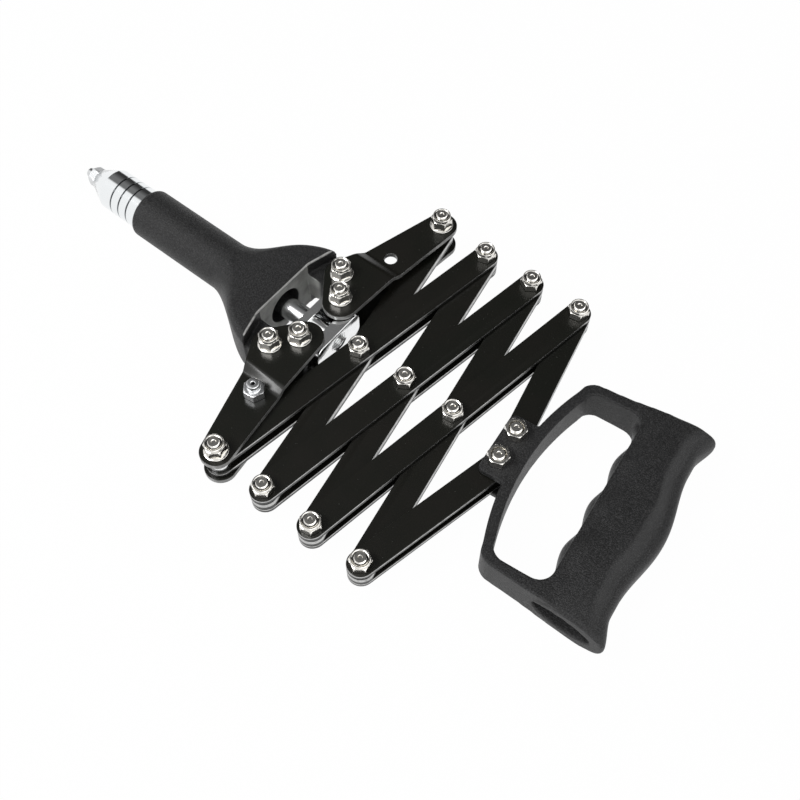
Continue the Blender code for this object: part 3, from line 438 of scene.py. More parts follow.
def cast_skin(solid, voxel, passes, blended=None):
    """A skin with a casting's soft edges; a function may mark where it blends further."""
    holder = holder_of(mesh_of(solid))
    skin = holder.modifiers.new("skin", "REMESH")
    skin.mode = "VOXEL"
    skin.voxel_size = voxel
    soft = holder.modifiers.new("soft", "SMOOTH")
    soft.factor = 0.5
    soft.iterations = passes
    made = evaluated(holder)
    if blended:
        skin = unmeshed(made)
        region = [v for v in skin.verts if blended(v.co)]
        for _ in range(BLEND_PASSES):
            bmesh.ops.smooth_vert(skin, verts=region, factor=0.5, use_axis_x=True, use_axis_y=True, use_axis_z=True)
        made = mesh_of(skin)
    made.shade_smooth()
    return made


def edged(solid, width, segments=2, sharp=40.0):
    """A mesh of a solid with its flat faces joined and its hard edges rounded."""
    bmesh.ops.dissolve_limit(solid, angle_limit=math.radians(0.1), verts=solid.verts, edges=solid.edges)
    holder = holder_of(mesh_of(solid))
    rounding = holder.modifiers.new("rounding", "BEVEL")
    rounding.width = width
    rounding.segments = segments
    rounding.limit_method = "ANGLE"
    rounding.angle_limit = math.radians(sharp)
    return evaluated(holder)


def crisp(mesh, degrees=30.0):
    mesh.shade_smooth()
    mesh.set_sharp_from_angle(angle=math.radians(degrees))
    return mesh


def moved(mesh, matrix):
    mesh.transform(matrix)
    mesh.update()
    return mesh


def show(name, mesh, material, body, replaced):
    """Puts a finished mesh in the scene as one piece of a body."""
    mesh.name = name
    mesh.materials.clear()
    mesh.materials.append(material)
    made = bpy.data.objects.new(name, mesh)
    bpy.context.collection.objects.link(made)
    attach(made, body)
    if replaced:
        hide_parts(*replaced)


def head_ring(x, inset):
    """The head's cross-section: a circle on the barrel, a rounded slab on the block."""
    t = (x - FLARE_START) / (BLOCK_REAR - FLARE_START)
    opened = 0.8 * smooth(t) + 0.2 * min(max(t, 0.0), 1.0)
    wide = BARREL_R + (FLARE_HALF_WIDTH - BARREL_R) * opened - inset
    high = BARREL_R + (HEAD_HALF_HIGH - BARREL_R) * smooth(opened * 1.6) - inset
    corner = BARREL_R + (HEAD_CORNER_R - BARREL_R) * smooth(opened * 1.3) - inset
    ring = []
    for quarter, (side, up) in enumerate(((1, 1), (-1, 1), (-1, -1), (1, -1))):
        for p in arc((side * (wide - corner), up * (high - corner)), corner, 90 * quarter, 90 * quarter + 90, 20):
            ring.append(Vector((x, p.x, p.y)))
    return ring


def head_solid():
    rings = []
    for i in range(6):
        a = math.radians(18 * i)
        rings.append(head_ring(BARREL_FRONT + BARREL_ROUND * (1 - math.sin(a)), BARREL_ROUND * (1 - math.cos(a))))
    rings.reverse()
    steps = 48
    rings += [head_ring(FLARE_START + (BLOCK_REAR - FLARE_START) * i / steps, 0.0) for i in range(steps + 1)]
    solid = loft(rings)
    far = FLARE_HALF_WIDTH + CUT_OVER
    lean = (far - BLOCK_STEP_SIDE) / (FLARE_HALF_WIDTH - BLOCK_STEP_SIDE)
    slant = BLOCK_STEP_X + (BLOCK_REAR - BLOCK_STEP_X) * lean
    step = [(BLOCK_STEP_X, BLOCK_STEP_SIDE), (BLOCK_STEP_X, -BLOCK_STEP_SIDE), (slant, -far)]
    step += [(CUT_OVER, -far), (CUT_OVER, far), (slant, far)]
    for low, high in ((LUG_HALF_HIGH, 2 * HEAD_HALF_HIGH), (-2 * HEAD_HALF_HIGH, -LUG_HALF_HIGH)):
        solid = combine(solid, plate(step, [], low, high), "DIFFERENCE")
    for side in (1, -1):
        root = [(BLOCK_STEP_X, FLARE_HALF_WIDTH * 0.95), (LUG_ROOT_X, PIVOT.y), (LUG_ROOT_X, CAVITY_SIDE - 2 * MM)]
        lug = arc(PIVOT, LUG_R, -90, 100, 32) + [Vector(p) for p in root]
        lug = [(p.x, side * p.y) for p in lug]
        solid = combine(solid, plate(lug, [], -LUG_HALF_HIGH, LUG_HALF_HIGH), "UNION")
    low, high = -CAVITY_SIDE, CAVITY_SIDE
    cavity = [(CAVITY_FRONT, low), (CUT_OVER, low), (CUT_OVER, high), (CAVITY_FRONT, high)]
    solid = combine(solid, plate(cavity, [], -2 * HEAD_HALF_HIGH, 2 * HEAD_HALF_HIGH), "DIFFERENCE")
    left = (PIVOT.x, -PIVOT.y - LEFT_HOLE_SHIFT)
    slot = arc((left[0], left[1] + LEFT_HOLE_PLAY), HOLE_R, 0, 180, 16)
    slot += arc((left[0], left[1] - LEFT_HOLE_PLAY), HOLE_R, 180, 360, 16)
    for hole in (circle(PIVOT, HOLE_R, 32), slot):
        solid = combine(solid, plate(hole, [], -HEAD_HALF_HIGH, HEAD_HALF_HIGH), "DIFFERENCE")
    bore = [[Vector((x, p.x, p.y)) for p in circle((0, 0), BORE_R, 72)] for x in (BARREL_FRONT - CUT_OVER, CUT_OVER)]
    return combine(solid, loft(bore), "DIFFERENCE")


head_mesh = moved(cast_skin(head_solid(), CAST_VOXEL, 2), Matrix.Translation(TOOL))
show("cast_head", head_mesh, powder_coat("head_powder_coat", cavity_wall), "head", ["head_casting"])

# Handle
# The second casting: a bow with a slotted lug for the last links, and a grip with finger
# grooves that is cored from its left end. Laid out about its own middle, with +X to the grip.
LUG_ASIDE = 1.2 * MM
FRAME_HALF_THICK = 10.4 * MM
FRAME_FRONT = 6.4 * MM
FRAME_FRONT_CURVE = 128.0 * MM
FRAME_END_SIDE = 55.7 * MM
FRAME_END_X = 24.0 * MM
FRAME_END_SLOPE = 0.09
FRAME_CORNER_R = 9.0 * MM
FRAME_ROUND = 1.3 * MM
LEG_RISE = 1.7 * MM
LEG_RISE_START = 35.0 * MM
LEG_RISE_RUN = 22.0 * MM
LEG_FALL_START = 60.0 * MM
LEG_FALL_RUN = 8.0 * MM
LOOP_FRONT = 12.3 * MM
LOOP_FRONT_CURVE = 133.0 * MM
LOOP_SIDE = 50.7 * MM
LOOP_BACK = 49.6 * MM
LOOP_CORNER_R = 8.0 * MM
LOOP_BACK_CORNER_R = 7.5 * MM
HANDLE_LUG_FRONT = -6.5 * MM
HANDLE_LUG_SIDE = 17.8 * MM
HANDLE_LUG_CORNER_R = 3.5 * MM
LUG_SLOT_DEEP = 7.4 * MM
SLOT_HALF_HIGH = 6.35 * MM
GRIP_FRONT = 47.9 * MM
GRIP_BACK = 83.2 * MM
GRIP_BELLY = 2.6 * MM
GRIP_BELLY_LONG = 74.0 * MM
GRIP_HEEL = 4.4 * MM
GRIP_HEEL_START = 44.0 * MM
GRIP_HEEL_RUN = 16.0 * MM
GRIP_HALF_THICK = 15.5 * MM
GRIP_END_HALF_THICK = 12.2 * MM
GRIP_ROUND = 1.5 * MM
GRIP_SQUARE = 0.75
GRIP_FOLD = 0.65
GRIP_FOLD_START = 0.4
FINGER_PITCH = 27.0 * MM
FINGER_DEPTH = 1.35 * MM
FINGER_MIDDLE = 11.5 * MM
CORE_X = 62.3 * MM
CORE_HALF_LONG = 15.2 * MM
CORE_HALF_HIGH = 6.0 * MM
CORE_DEEP = 38.0 * MM
CORE_MOUTH = 5.0 * MM
CORE_STEP = 8.0 * MM
CORE_WALL = 3.0 * MM
HANDLE_VOXEL = 0.6 * MM


def end_side(x):
    return FRAME_END_SIDE + FRAME_END_SLOPE * (x - FRAME_END_X)


def grip_ring(share, inset):
    """A slice of the grip at a share of the way to its end faces, from -1 to 1."""
    near = share * end_side((GRIP_FRONT + GRIP_BACK) / 2)
    finger = FINGER_DEPTH * math.cos(math.tau * (near - FINGER_MIDDLE) / FINGER_PITCH)
    belly = GRIP_BELLY * math.cos(math.tau * min(abs(near) / GRIP_BELLY_LONG, 0.5))
    heel = GRIP_HEEL * smooth((abs(near) - GRIP_HEEL_START) / GRIP_HEEL_RUN)
    front = GRIP_FRONT + finger + inset
    back = GRIP_BACK + belly + heel - inset
    half = GRIP_END_HALF_THICK + (GRIP_HALF_THICK - GRIP_END_HALF_THICK) * (1 - share ** 4) - inset
    ring = []
    steps = 72
    for i in range(steps):
        c, s = math.cos(math.tau * i / steps), math.sin(math.tau * i / steps)
        across, up = math.copysign(abs(c) ** GRIP_SQUARE, c), math.copysign(abs(s) ** GRIP_SQUARE, s)
        if c > 0:
            fold = GRIP_FOLD * (1 - 0.8 * share ** 4) * max(across - GRIP_FOLD_START, 0.0) / (1 - GRIP_FOLD_START)
            up *= 1 - fold * min(1.0, 3 * (1 - across))
        x = (front + back) / 2 + (back - front) / 2 * across
        ring.append(Vector((x, share * end_side(x), half * up)))
    return ring


def bow_outlines():
    """The bow's outer and inner outlines in plan."""
    outlines = []
    steps = 24
    for front, curve, side, corner_r, turn in (
        (FRAME_FRONT, FRAME_FRONT_CURVE, end_side(FRAME_END_X), FRAME_CORNER_R, 95.0),
        (LOOP_FRONT, LOOP_FRONT_CURVE, LOOP_SIDE, LOOP_CORNER_R, 90.0),
    ):
        last = side - corner_r
        run = [Vector((front + (last * i / steps) ** 2 / (2 * curve), last * i / steps)) for i in range(steps + 1)]
        run += arc((run[-1].x + corner_r, last), corner_r, 150, turn, 14)
        outlines.append(run)
    outer, inner = outlines
    outer += [Vector((x, end_side(x) - 0.4 * MM)) for x in (GRIP_FRONT, GRIP_BACK - 8 * MM)]
    back = (LOOP_BACK - LOOP_BACK_CORNER_R, LOOP_SIDE - LOOP_BACK_CORNER_R)
    inner += arc(back, LOOP_BACK_CORNER_R, 90, 0, 14)
    return [[Vector((p.x, -p.y)) for p in run[:0:-1]] + run for run in (outer, inner)]


def handle_solid():
    outer, inner = bow_outlines()
    bow = plate(outer, [inner], -FRAME_HALF_THICK, FRAME_HALF_THICK)
    root = (FRAME_FRONT + LOOP_FRONT) / 2
    corner_x = HANDLE_LUG_FRONT + HANDLE_LUG_CORNER_R
    low, high = LUG_ASIDE - HANDLE_LUG_SIDE, LUG_ASIDE + HANDLE_LUG_SIDE
    lug = arc((corner_x, high - HANDLE_LUG_CORNER_R), HANDLE_LUG_CORNER_R, 90, 180, 12)
    lug += arc((corner_x, low + HANDLE_LUG_CORNER_R), HANDLE_LUG_CORNER_R, 180, 270, 12)
    lug += [Vector((root, low)), Vector((root, high))]
    solid = combine(bow, plate(lug, [], -FRAME_HALF_THICK, FRAME_HALF_THICK), "UNION")
    solid = unmeshed(edged(solid, FRAME_ROUND, 4, 50.0))
    for i in range(24):
        x = LEG_RISE_START + (LEG_FALL_START + LEG_FALL_RUN - LEG_RISE_START) * i / 23
        geom = solid.verts[:] + solid.edges[:] + solid.faces[:]
        bmesh.ops.bisect_plane(solid, geom=geom, plane_co=(x, 0, 0), plane_no=(1, 0, 0), dist=0.001 * MM)
    for v in solid.verts:
        rise = smooth((v.co.x - LEG_RISE_START) / LEG_RISE_RUN)
        fall = smooth((v.co.x - LEG_FALL_START) / LEG_FALL_RUN)
        v.co.z *= 1 + LEG_RISE / FRAME_HALF_THICK * rise * (1 - fall)
    slices = 90
    shares = [0.975 * (2 * i / slices - 1) for i in range(slices + 1)]
    rounding = [(0.983, 0.25), (0.990, 0.55), (0.996, 0.85), (1.0, 1.3)]
    rings = [grip_ring(-share, inset * GRIP_ROUND) for share, inset in reversed(rounding)]
    rings += [grip_ring(share, 0.0) for share in shares]
    rings += [grip_ring(share, inset * GRIP_ROUND) for share, inset in rounding]
    solid = combine(solid, loft(rings), "UNION")
    far = HANDLE_LUG_SIDE + CUT_OVER
    slot = [(HANDLE_LUG_FRONT - far, -far), (LUG_SLOT_DEEP, -far), (LUG_SLOT_DEEP, far), (HANDLE_LUG_FRONT - far, far)]
    solid = combine(solid, plate(slot, [], -SLOT_HALF_HIGH, SLOT_HALF_HIGH), "DIFFERENCE")
    for side in (1, -1):
        hole = circle((0.0, LUG_ASIDE + side * HANDLE_BOLTS / 2), HOLE_R, 32)
        solid = combine(solid, plate(hole, [], -far, far), "DIFFERENCE")
    core = []
    core_back = CORE_X + CORE_HALF_LONG
    mouth = CORE_X - CORE_HALF_LONG
    inside = GRIP_FRONT + FINGER_DEPTH + CORE_WALL
    for depth, core_front in ((-CUT_OVER, mouth), (CORE_MOUTH, mouth), (CORE_STEP, inside), (CORE_DEEP, inside)):
        middle, reach = (core_back + core_front) / 2, (core_back - core_front) / 2
        y = depth - end_side(CORE_X)
        core.append([Vector((middle + reach * p.x, y, CORE_HALF_HIGH * p.y)) for p in circle((0, 0), 1.0)])
    return combine(solid, loft(core), "DIFFERENCE")


def leg_face(p):
    """Whether a point is on the faces where a leg of the bow runs into the grip."""
    inner = min(p.x - LOOP_BACK - 2 * MM, end_side(p.x) - 4 * MM - abs(p.y)) > 0
    leg = p.x > LEG_RISE_START and LOOP_SIDE + 1.5 * MM < abs(p.y) < end_side(p.x) - 2 * MM
    return abs(p.z) > 8 * MM and p.x < LEG_FALL_START + LEG_FALL_RUN and (inner or leg)


right_bolt = middle_of("handle_right_bolt")
left_bolt = middle_of("handle_left_bolt")
HANDLE_BOLTS = (right_bolt - left_bolt).length
handle_tilt = math.atan2(left_bolt.x - right_bolt.x, right_bolt.y - left_bolt.y)
to_row = Matrix.Translation(Vector((right_bolt.x, right_bolt.y, TOOL.z))) @ Matrix.Rotation(handle_tilt, 4, "Z")
to_row = to_row @ Matrix.Translation((0.0, -LUG_ASIDE - HANDLE_BOLTS / 2, 0.0))
handle_mesh = moved(cast_skin(handle_solid(), HANDLE_VOXEL, 3, leg_face), to_row)
show("cast_handle", handle_mesh, powder_coat("handle_powder_coat"), "handle", ["handle_casting"])

# Nose sleeve
# Turned from bar and chromed: a blunt taper, three grooves and a spigot into the barrel.
CHROME = colour(0.86, 0.88, 0.89)
# Painted shade for the sleeve's grooves.
GROOVE_SHADE = colour(0.10, 0.105, 0.11)
SLEEVE_R = 12.0 * MM
SLEEVE_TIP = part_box("nose_sleeve")[0].x - TOOL.x
SLEEVE_TIP_R = 6.3 * MM
SLEEVE_SHOULDER = -165.5 * MM
SLEEVE_NECK_R = 3.5 * MM
SLEEVE_BORE_R = 8.6 * MM
SLEEVE_BORE_DEPTH = 13.0 * MM
SPIGOT_LENGTH = 14.5 * MM
SEAT_GAP = 0.3 * MM
GROOVES = (-157.0 * MM, -151.0 * MM, -145.0 * MM)
GROOVE_SHAPE = ((-0.55, 0.0), (-0.48, 0.25), (-0.38, 0.5), (0.38, 0.5), (0.48, 0.25), (0.55, 0.0))


def turned_metal(name, tint, roughness, pitch, depth, grooves=()):
    """Bright metal with fine turning lines around the X axis, and painted shade in its grooves."""
    made = new_material(name)
    point = made.place()
    lines = (made.axes(point)[0] * (math.tau / pitch)).math("SINE")
    cloud = made.noise(point, 260.0, 2.0)
    normal = made.relief(lines, depth, 1.0)
    rough = roughness + cloud * 0.06
    x = made.axes(point)[0]
    # Each groove is darkened with painted shade.
    for middle in grooves:
        grime_and_groove_shade = x.within(TOOL.x + middle - 0.45 * MM, TOOL.x + middle + 0.45 * MM, 0.2 * MM)
        tint = made.blend(grime_and_groove_shade, tint, GROOVE_SHADE)
    return made.principled(Base_Color=tint, Metallic=1.0, Roughness=rough, Normal=normal)


def lathe(profile, steps=96, bored=True):
    """A mesh turned about the tool's axis from (x, radius) points."""
    rings = []
    for x, radius in profile:
        rings.append([Vector((x, p.x, p.y)) for p in circle((0, 0), radius, steps)])
    return moved(mesh_of(loft(rings, closed=bored)), Matrix.Translation(TOOL))


barrel_seat = BARREL_FRONT - SEAT_GAP
sleeve = [(SLEEVE_TIP, SLEEVE_NECK_R), (SLEEVE_TIP, SLEEVE_TIP_R - 0.4 * MM), (SLEEVE_TIP + 0.3 * MM, SLEEVE_TIP_R)]
sleeve += [(SLEEVE_SHOULDER - 0.4 * MM, SLEEVE_R - 0.35 * MM), (SLEEVE_SHOULDER + 0.2 * MM, SLEEVE_R)]
for middle in GROOVES:
    sleeve += [(middle + step * MM, SLEEVE_R - depth * MM) for step, depth in GROOVE_SHAPE]
spigot_r = BORE_R - SEAT_GAP
spigot_end = barrel_seat + SPIGOT_LENGTH
chamber = SLEEVE_TIP + SLEEVE_BORE_DEPTH
sleeve += [(barrel_seat - 0.3 * MM, SLEEVE_R), (barrel_seat, SLEEVE_R - 0.3 * MM), (barrel_seat, spigot_r)]
sleeve += [(spigot_end, spigot_r), (spigot_end, SLEEVE_BORE_R), (chamber, SLEEVE_BORE_R)]
sleeve += [(chamber - 2.7 * MM, SLEEVE_NECK_R)]
chrome = turned_metal("chrome", CHROME, 0.07, 0.9 * MM, 0.003 * MM, GROOVES)
show("chromed_nose_sleeve", crisp(lathe(sleeve)), chrome, "head", ["nose_sleeve"])

# Nosepieces
# One in use in the sleeve and a spare screwed into the left arm: a round boss with the
# mandrel's hole, a hexagon for the spanner and a threaded shank.
NUT_FLATS = 10.0 * MM
RING_STEPS = 96
BOSS_LONG = 4.3 * MM
HEX_LONG = 5.0 * MM
SHANK_R = 3.2 * MM
THREAD_PITCH = 1.0 * MM
STEEL = colour(0.74, 0.75, 0.76)


def hex_reach(angle, flats):
    """How far a hexagon reaches at an angle from a corner."""
    turn = (angle + math.pi / 6) % (math.pi / 3) - math.pi / 6
    return flats / 2 / math.cos(math.pi / 6 - abs(turn))


def upright_ring(z, limit, flats=None):
    """A level ring: round, or a hexagon cut down to a round limit."""
    ring = []
    for i in range(RING_STEPS):
        a = math.tau * i / RING_STEPS
        r = limit if flats is None else min(limit, hex_reach(a, flats))
        ring.append(Vector((r * math.cos(a), r * math.sin(a), z)))
    return ring


def chamfered_hex(low, high, flats, top_cut=0.9, bottom_cut=0.3):
    """Rings of a hexagon whose corners are turned off at both ends."""
    corner = flats / math.sqrt(3)
    rings = [upright_ring(low, corner - bottom_cut * MM, flats), upright_ring(low + 0.2 * MM, corner, flats)]
    for share in (0.0, 0.3, 0.6, 0.85, 1.0):
        cut = top_cut * share ** 1.6 * MM
        rings.append(upright_ring(high - 0.55 * top_cut * MM * (1 - share), corner - cut, flats))
    return rings


def thread(low, high, radius):
    """Rings of a screw thread, drawn as grooves."""
    rings = []
    turns = max(int(round((high - low) / THREAD_PITCH)), 1)
    step = (high - low) / turns
    for i in range(turns):
        at = low + step * i
        rings += [upright_ring(at + 0.15 * step, radius), upright_ring(at + 0.3 * step, radius)]
        rings += [upright_ring(at + 0.6 * step, radius - 0.4 * MM), upright_ring(at + 0.75 * step, radius - 0.4 * MM)]
    return rings


def nosepiece(hole_r, boss_r, shank_long):
    """A nosepiece about +Z, with its hexagon seated at zero."""
    top = HEX_LONG + BOSS_LONG
    rings = [upright_ring(-shank_long, hole_r)]
    rings += thread(-shank_long, -0.2 * MM, SHANK_R)
    rings += [upright_ring(0.0, SHANK_R - 0.2 * MM)]
    rings += chamfered_hex(0.0, HEX_LONG, NUT_FLATS)
    rings += [upright_ring(HEX_LONG, boss_r + 0.3 * MM), upright_ring(HEX_LONG + 0.3 * MM, boss_r)]
    for a in (0, 30, 60, 90):
        turn = math.radians(a)
        rings.append(upright_ring(top - 0.7 * MM * (1 - math.sin(turn)), boss_r - 0.7 * MM * (1 - math.cos(turn))))
    rings += [upright_ring(top, hole_r + 0.3 * MM), upright_ring(top - 0.3 * MM, hole_r)]
    return crisp(mesh_of(loft(rings, closed=True)), 28.0)


def plain_metal(name, tint, roughness, uneven, depth, scale, shade=0.8):
    """Plated or cast metal with uneven tone and gloss, and a faint relief."""
    made = new_material(name)
    point = made.place()
    cloud = made.noise(point, scale, 3.0)
    fine = made.noise(point, scale * 3.0, 2.0)
    tone = made.blend(cloud, tint, colour(*[c * shade for c in tint[:3]]))
    normal = made.relief(fine, depth, 1.0)
    return made.principled(Base_Color=tone, Metallic=1.0, Roughness=roughness + cloud * uneven, Normal=normal)


machined = plain_metal("machined_steel", STEEL, 0.20, 0.14, 0.02 * MM, 500.0)
to_nose = Matrix.Translation(TOOL + Vector((SLEEVE_TIP - SEAT_GAP, 0.0, 0.0))) @ Matrix.Rotation(-math.pi / 2, 4, "Y")
show("nosepiece_in_use", moved(nosepiece(1.5 * MM, 2.7 * MM, 16.0 * MM), to_nose), machined, "head", ["nosepiece"])
spare = middle_of("spare_nosepiece")
spare_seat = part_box("spare_nosepiece")[1].z - HEX_LONG - BOSS_LONG
to_store = Matrix.Translation((spare.x, spare.y, spare_seat)) @ Matrix.Rotation(math.radians(8), 4, "Z")
show("nosepiece_spare", moved(nosepiece(1.0 * MM, 3.2 * MM, 7.0 * MM), to_store), machined, "left_arm", ["spare_nosepiece"])

# Links
# Stamped strips of black steel with round ends: single thick bars from the right, pairs of
# thin plates from the left that straddle them. The sheared sides are brighter than the faces.
LINK_WIDTH = 13.6 * MM
EDGE_ROUND = 0.32 * MM
LINK_BLACK = colour(0.0072, 0.0078, 0.0056)
LINK_BROWN = colour(0.0095, 0.0088, 0.0068)
LINK_DUST = colour(0.16, 0.16, 0.15)
BURNISHED = colour(0.56, 0.56, 0.55)
FRACTURED = colour(0.012, 0.012, 0.011)


def enamel(name, burnished=None):
    """Satin black faces with faint flow and dust, and sides sheared bright in part."""
    made = new_material(name)
    point = made.place()
    facing = made.axes(made.node("TexCoord", output=1))[2].math("ABSOLUTE")
    side = 1.0 - facing.above(0.55, 0.3)
    flow = made.noise(point, 30.0, 4.0, 0.6)
    streak = made.noise(point, 320.0, 3.0, 0.6)
    dust = made.noise(point, 1100.0, 1.0).above(0.79, 0.02)
    tone = made.blend(flow.above(0.52, 0.25), LINK_BLACK, LINK_BROWN)
    tone = made.blend(dust * 0.3, tone, LINK_DUST)
    shine = streak.above(0.5, 0.5) * 0.4 + 0.2
    if burnished:
        z = made.axes(point)[2]
        bands = [z.within(low, high, 0.2 * MM) for low, high in burnished]
        shine = sum(bands[1:], bands[0]) * (streak.above(0.42, 0.3) * 0.5 + 0.5)
    tone = made.blend(side, tone, made.blend(shine, FRACTURED, BURNISHED))
    rough = 0.20 + flow * 0.10 + dust * 0.2 + side * (streak * 0.1 + 0.04)
    normal = made.relief(flow, 0.05 * MM, 0.5)
    return made.principled(Base_Color=tone, Metallic=side * shine, Roughness=rough, Normal=normal,
                           Specular_IOR_Level=0.42)


def strip(first, last, holes, thick, play=0.0):
    """A round-ended strip along X about its own middle plane; the last hole may have play."""
    half_wide = LINK_WIDTH / 2
    outline = arc((last, 0), half_wide, -90, 90, 28) + arc((first, 0), half_wide, 90, 270, 28)
    loops = [circle((x, 0), HOLE_R) for x in holes[:-1]] + [circle((holes[-1], 0), HOLE_R + play)]
    return crisp(edged(plate(outline, loops, -thick / 2, thick / 2), EDGE_ROUND), 22.0)


def copies_tree():
    """Copies of one object on a mesh's points, all turned about Z, as one mesh."""
    tree = bpy.data.node_groups.new("copies", "GeometryNodeTree")
    for name, kind in (("Places", "Geometry"), ("Unit", "Object"), ("Turn", "Float"), ("Finish", "Material")):
        tree.interface.new_socket(name, in_out="INPUT", socket_type="NodeSocket" + kind)
    tree.interface.new_socket("Copies", in_out="OUTPUT", socket_type="NodeSocketGeometry")
    given = tree.nodes.new("NodeGroupInput").outputs
    result = tree.nodes.new("NodeGroupOutput")
    unit = tree.nodes.new("GeometryNodeObjectInfo")
    spin = tree.nodes.new("ShaderNodeCombineXYZ")
    spread = tree.nodes.new("GeometryNodeInstanceOnPoints")
    real = tree.nodes.new("GeometryNodeRealizeInstances")
    coat = tree.nodes.new("GeometryNodeSetMaterial")
    join = tree.links.new
    join(given["Unit"], unit.inputs["Object"])
    join(given["Turn"], spin.inputs["Z"])
    join(given["Places"], spread.inputs["Points"])
    join(unit.outputs["Geometry"], spread.inputs["Instance"])
    join(spin.outputs["Vector"], spread.inputs["Rotation"])
    join(spread.outputs["Instances"], real.inputs["Geometry"])
    join(real.outputs["Geometry"], coat.inputs["Geometry"])
    join(given["Finish"], coat.inputs["Material"])
    join(coat.outputs["Geometry"], result.inputs["Copies"])
    return tree


COPIES = copies_tree()
SOCKETS = {s.name: s.identifier for s in COPIES.interface.items_tree if s.in_out == "INPUT"}


def copies(mesh, places, turn, material):
    """One mesh of a unit repeated at places."""
    unit = holder_of(mesh)
    points = bpy.data.meshes.new("places")
    points.from_pydata([tuple(p) for p in places], [], [])
    holder = holder_of(points)
    pattern = holder.modifiers.new("copies", "NODES")
    pattern.node_group = COPIES
    pattern[SOCKETS["Unit"]] = unit
    pattern[SOCKETS["Turn"]] = turn
    pattern[SOCKETS["Finish"]] = material
    made = evaluated(holder)
    bpy.data.objects.remove(unit)
    return made


link_run = (joints["outer_link_1_cross"] - joints["inner_link_1_swing"]) * 2
LINK_TURN = math.atan2(-link_run.y, link_run.x)
half_reach = link_run.length / 2
bar_low, bar_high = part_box("inner_link_1")
BAR_THICK = bar_high.z - bar_low.z
plate_low, plate_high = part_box("outer_link_1_top_plate")
PLATE_THICK = plate_high.z - plate_low.z
PLATE_LEVEL = (plate_low.z + plate_high.z) / 2 - TOOL.z
bar_enamel = enamel("bar_enamel", [(TOOL.z - 0.12 * BAR_THICK, TOOL.z + 0.38 * BAR_THICK)])
plate_bands = [(TOOL.z + level + 0.1 * PLATE_THICK, TOOL.z + level + 0.42 * PLATE_THICK)
               for level in (PLATE_LEVEL, -PLATE_LEVEL)]
plate_enamel = enamel("plate_enamel", plate_bands)
full_holes = (-half_reach, 0.0, half_reach)
bar_mesh = strip(-half_reach, half_reach, full_holes, BAR_THICK)
plate_mesh = strip(-half_reach, half_reach, full_holes, PLATE_THICK)
for i in (1, 2, 3):
    node = "inner_link_%d" % i
    bar = copies(bar_mesh, [middle_of(node)], -LINK_TURN, bar_enamel)
    show(node + "_bar", bar, bar_enamel, node, [node])
    node = "outer_link_%d" % i
    pair = [node + "_top_plate", node + "_bottom_plate"]
    plates = copies(plate_mesh, [middle_of(n) for n in pair], LINK_TURN, plate_enamel)
    show(node + "_plates", plates, plate_enamel, node, pair)

HANDLE_PLAY = 0.9 * MM
half_links = (
    ("inner_half_link", right_bolt, BAR_THICK, (0.0,), 0.0, bar_enamel, "black_bar"),
    ("outer_half_link", left_bolt, PLATE_THICK, (PLATE_LEVEL, -PLATE_LEVEL), HANDLE_PLAY, plate_enamel, "black_plate"),
)
for body, end, thick, levels, play, coat, slot in half_links:
    start = joints[body + "_swing"]
    reach = Vector((end.x - start.x, end.y - start.y))
    mesh = strip(0.0, reach.length, (0.0, reach.length), thick, play)
    places = [(start.x, start.y, TOOL.z + level) for level in levels]
    made = copies(mesh, places, math.atan2(reach.y, reach.x), coat)
    replaced = [n for n in nodes if n.startswith(body) and "bolt" not in n]
    show(body + "_strips", made, coat, body, replaced)

# Arms
# Cranked plates above and below the head, stamped from the same steel. Each heel turns on a
# lug and each toe drives the cross-head. The upper ones are wide, with a nosepiece's hole.
ARM_HEEL_R = 9.3 * MM
ARM_TOE_R = 9.6 * MM
ARM_TIP_R = 8.5 * MM
TOE = Vector((-8.6 * MM, 13.9 * MM))
PIN = Vector((-10.6 * MM, 16.0 * MM))
STORE = Vector((-7.2 * MM, 53.5 * MM))
STORE_R = 3.5 * MM
WAIST_RIGHT = Vector((3.0 * MM, 43.0 * MM))
UPPER_WAIST = Vector((-20.6 * MM, 48.0 * MM))
LOWER_WAIST = Vector((-9.2 * MM, 56.5 * MM))
RISE_START = 43.0 * MM
RISE_RUN = 5.0 * MM
BEND_ROUND = 1.5 * MM
ARM_TIP_LEVEL = 7.85 * MM
ARM_HEEL_LEVEL = 10.35 * MM


def crank(y):
    """How far a plate has stepped down at y, from 0 on the heel to 1 on the blade."""
    t = (y - RISE_START) / RISE_RUN
    r = BEND_ROUND / RISE_RUN
    if t < -r or t > 1 + r:
        return min(max(t, 0.0), 1.0)
    if t < r:
        return (t + r) ** 2 / (4 * r)
    if t > 1 - r:
        return 1 - (1 + r - t) ** 2 / (4 * r)
    return t


